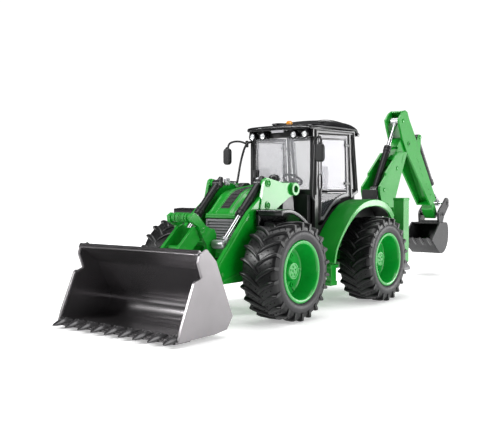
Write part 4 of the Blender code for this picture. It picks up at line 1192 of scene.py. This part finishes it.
def make_doors():
    bodies = ("door_left", "door_right")
    pair("door_rims", door_rim, "cloudy", bodies, ("door_left", "door_right"))
    pair("door_lines", door_lines, "black", bodies)
    pair("door_panes", upper_pane, "door_glass", bodies, ("door_glass_left", "door_glass_right"))
    pair("door_lower_panes", lower_pane, "smoked", bodies)


def mirror_shape(piece):
    x, y = 49.5, 88.5
    piece.turn([(-4, 1.6), (-3.5, 1.9), (3.5, 1.9), (4, 1.6)], (x, y, 189.5), "Z", 20)
    route = smooth_line([(x, y, 189.5), (55, 83.6, 192.2), (61, 78.4, 192.3), (65.4, 74.6, 189.8),
                         (66.5, 73.2, 185), (66.5, 72.6, 180)], 5)
    piece.tube(route, 1.25, 12)
    corners = ((67.4, 168.4, -90), (67.4, 180, 0), (65.2, 180, 90), (65.2, 168.4, 180))
    head = [spot for cx, cz, start in corners for spot in arc((cx, cz), 4.2, start, start + 90, 5)]
    piece.front(head, 69, 74.6, 1.9, 4)
    piece.turn([(-2, 2.1), (0, 2.3), (1.6, 1.4), (1.9, 0)], (66.4, 71.4, 184), "Z", 18)


def mirror_face(piece):
    piece.block(63.2, 69.4, 74.2, 74.9, 167, 181.4, 0.3)


def make_mirrors():
    bodies = ("mirror_left", "mirror_right")
    pair("mirror_shape", mirror_shape, "trim", bodies, ("mirror_left", "mirror_right"))
    pair("mirror_face", mirror_face, "steel", bodies)


def make_exhaust():
    low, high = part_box("exhaust_stack")
    x = (low.x + high.x) / 2 / MM
    y = (low.y + high.y) / 2 / MM - AXLE_Y
    piece = Piece("exhaust_shape")
    stack = [(92, 2.9), (99, 2.9), (100.6, 4.1), (127, 4.1), (129.4, 3.1), (148, 3.1), (150, 3.5), (157.3, 4),
             (157.5, 3.4), (150, 2.5), (140, 2.4)]
    piece.turn(stack, (x, y, 0), "Z", 32)
    for k in range(5):
        z = 103.5 + 5.2 * k
        piece.add(turn([(-0.5, 3), (-0.5, 4.35), (0.5, 4.35), (0.5, 3)], (x, y, z), "Z", 32))
    piece.done("gloss", "chassis", "exhaust_stack")


# -------- backhoe

BOOM_X = 15.2
SWING_Y = 272
DIPPER_RAM_EYE = (380, 236.5)
BUCKET_RAM_EYE = (527, 114.6)
DIPPER_X = 12


def pin_heads(piece, centres, x, radius, height=1.2):
    """Domed pin heads on both faces of a pair of plates."""
    head = [(-0.6, radius), (height * 0.5, radius), (height * 0.85, radius * 0.82), (height, radius * 0.5)]
    piece.twin = True
    for centre in centres:
        piece.turn(head, (x, *centre), "X", 28)
    piece.twin = False


def boom_details(piece):
    pin_heads(piece, [joint_yz("dipper_barrel_swing"), (355.6, 166)], BOOM_X, 3.2)
    pin_heads(piece, [joint_yz("boom_lift")], BOOM_X, 4.2)
    pin_heads(piece, [joint_yz("dipper_swing")], DIPPER_X, 3.4)
    piece.twin = True
    slot = [(374.5, 186.5), (377, 188), (374.4, 181), (371.6, 174), (369.4, 175)]
    piece.plate(slot, BOOM_X - 0.4, BOOM_X + 0.35, 0.25)
    fold = [(360.6, 189.3), (386, 191.3), (386.2, 189.8), (359.4, 187.8)]
    piece.plate(fold, BOOM_X - 0.6, BOOM_X + 0.4, 0.3)
    piece.twin = False
    shelf = [(370.5, 197), (377, 203.5), (383.6, 209.6), (381.4, 210.8), (374.6, 205.4), (368.4, 198.6)]
    piece.plate(shelf, -8.8, 8.8, 0.5)
    back = strip([(366, 172), (340, 134), (334, 122)], -1.6)
    piece.plate(back, -BOOM_X + 2, BOOM_X - 2, 0.3)


def dipper_point(distance, offset):
    """A point up the dipper from the digging bucket's pivot, and off its back."""
    up = -Vector(JOINTS["extension_slide"]["axis"])
    back = Vector((0, up.z, -up.y))
    point = Vector((0, *joint_yz("rear_bucket_curl"))) + up * distance + back * offset
    return (point.y, point.z)


def dipper_details(piece):
    pin_heads(piece, [DIPPER_RAM_EYE], DIPPER_X, 3)
    pin_heads(piece, [dipper_point(64, -4), dipper_point(52, -3), dipper_point(40, -2)], DIPPER_X, 1.3, 0.8)
    for k in range(3):
        y = 385.4 + 3.6 * k
        piece.rod((-DIPPER_X + 2, y, 250.8), (DIPPER_X - 2, y, 250.8), 1.5, 16)
    piece.twin = True
    for start in (78, 92, 106):
        slot = [dipper_point(start, -6.6), dipper_point(start, -5.6), dipper_point(start + 10, -7),
                dipper_point(start + 10, -8)]
        piece.plate(slot, DIPPER_X - 0.4, DIPPER_X + 0.35, 0.25)


def extension_details(piece):
    pin_heads(piece, [joint_yz("rear_bucket_curl")], 8.8, 4.6, 0.8)
    pin_heads(piece, [joint_yz("bucket_barrel_swing")], 6.6, 3.4, 1.6)
    piece.twin = True
    rail = [dipper_point(20, -2.4), dipper_point(20, -0.6), dipper_point(118, -0.6), dipper_point(118, -2.4)]
    piece.plate(rail, 5.4, 8.6, 0.3)


def digger_shape():
    piece = Piece("rear_bucket_shell")
    bend = smooth_line([(512, 83.4), (516.4, 77), (518, 66), (515.6, 52), (508, 41.2), (498, 35.8),
                        (488, 35.2)], 4)
    line = [(487, 84), (508, 84), *bend, (474, 43.6)]
    piece.plate(strip([*line, (455, 58.5)], 2), -23, 23, 0.35)
    ear = [(494.5, 96), (496, 101), (500, 104.6), (520.5, 119.6), *arc((527, 116), 7, 130, -20, 8),
           (534, 109.5), (516, 93), (511, 82), (497, 80)]
    piece.twin = True
    piece.plate([*line, (456, 58)], 22.8, 24.5, 0.35)
    piece.plate(ear, 14.5, 18, 0.6)
    for centre in (joint_yz("rear_bucket_curl"), BUCKET_RAM_EYE, (512, 97)):
        piece.turn([(-0.5, 3.2), (0.8, 2.9), (1, 1.8), (0.4, 1.6)], (18, *centre), "X", 24)
    cutter = [(455.4, 58.6), (458.6, 60.8), (488, 84.4), (484.6, 84.4)]
    piece.plate(cutter, 22.4, 24.9, 0.3)
    piece.twin = False
    piece.pin(joint_yz("rear_bucket_curl"), -16, 16, 2.6)
    piece.block(-14.8, 14.8, 493, 510, 82, 87, 0.6)
    rib = [(517.6, 74), (519.6, 66), (517.4, 51), (509.4, 39.8), (498, 34), (498, 36), (508, 41.4), (515.6, 52),
           (517.8, 66)]
    for x in (-12.4, 12.4):
        piece.plate(rib, x - 1.5, x + 1.5, 0.3)
    piece.done("digger", "rear_bucket", "rear_bucket")
    teeth = Piece("rear_bucket_teeth")
    sections = [(466, 51.2, 2.9, 2.4), (460, 55.4, 3.1, 2.8), (454.6, 58.8, 2.5, 2), (450.4, 61, 1.5, 0.9)]
    for i in range(4):
        x = 12.4 * (i - 1.5)
        teeth.add(loft([oval((x, y, z), half, (0.5 * thick, 0.85 * thick), 12) for y, z, half, thick in sections]))
    teeth.done("tooth", "rear_bucket")


def make_backhoe():
    refined("backhoe_frame", "green", "chassis", 0.9, backhoe_frame_details)
    for side in ("left", "right"):
        refined(f"stabiliser_{side}", "grey", f"stabiliser_{side}", 0.7)
    refined("carriage", "black", "carriage", 0.9)
    refined("swing_post", "black", "swing_post", 0.9, post_details)
    refined("boom", "green", "boom", 0.7, boom_details)
    refined("dipper", "green", "dipper", 0.6, dipper_details)
    refined("dipper_extension", "green", "dipper_extension", 0.6, extension_details)
    digger_shape()
    bodies = ("dipper_ram_barrel", "dipper_ram_rod") * 2
    ram("dipper_ram", 0, joint_yz("dipper_barrel_swing"), DIPPER_RAM_EYE, (4.8, 74), 2.8, (5, 5.5), (5.2, 6.4), bodies)
    bodies = ("bucket_ram_barrel", "bucket_ram_rod") * 2
    ram("bucket_ram", 0, joint_yz("bucket_barrel_swing"), BUCKET_RAM_EYE, (4.4, 92), 2.6, (4.6, 3.8), (5, 4), bodies)
    cross = Piece("ram_cross_pins")
    cross.pin(BUCKET_RAM_EYE, -14, 14, 2.2)
    cross.done("steel", "bucket_ram_rod")
    upper = Piece("ram_upper_pin")
    upper.pin(DIPPER_RAM_EYE, -8.6, 8.6, 2.2)
    upper.done("steel", "dipper_ram_rod")


def backhoe_frame_details(piece):
    piece.twin = True
    piece.block(67.4, 82.6, 241.6, 258, 120.6, 124.2, 0.7)


def post_details(piece):
    for side in (-1, 1):
        piece.turn([(-0.5, 4.4), (0.7, 4.2), (0.9, 3.2), (0.4, 3)], (0, SWING_Y, 85 + side * 24), (0, 0, side), 28)
    for z in (76, 84.5, 93):
        piece.add(turn([(-0.8, 8), (-0.8, 9.5), (0.8, 9.5), (0.8, 8)], (0, SWING_Y, z), "Z", 36))


# -------- running order

make_camera()
make_stage()
make_wheels()
make_front_bucket()
make_loader()
make_frame_pieces()
make_hood()
make_grille()
make_fenders()
make_roof()
make_lamps()
make_cab()
make_doors()
make_mirrors()
make_exhaust()
make_backhoe()
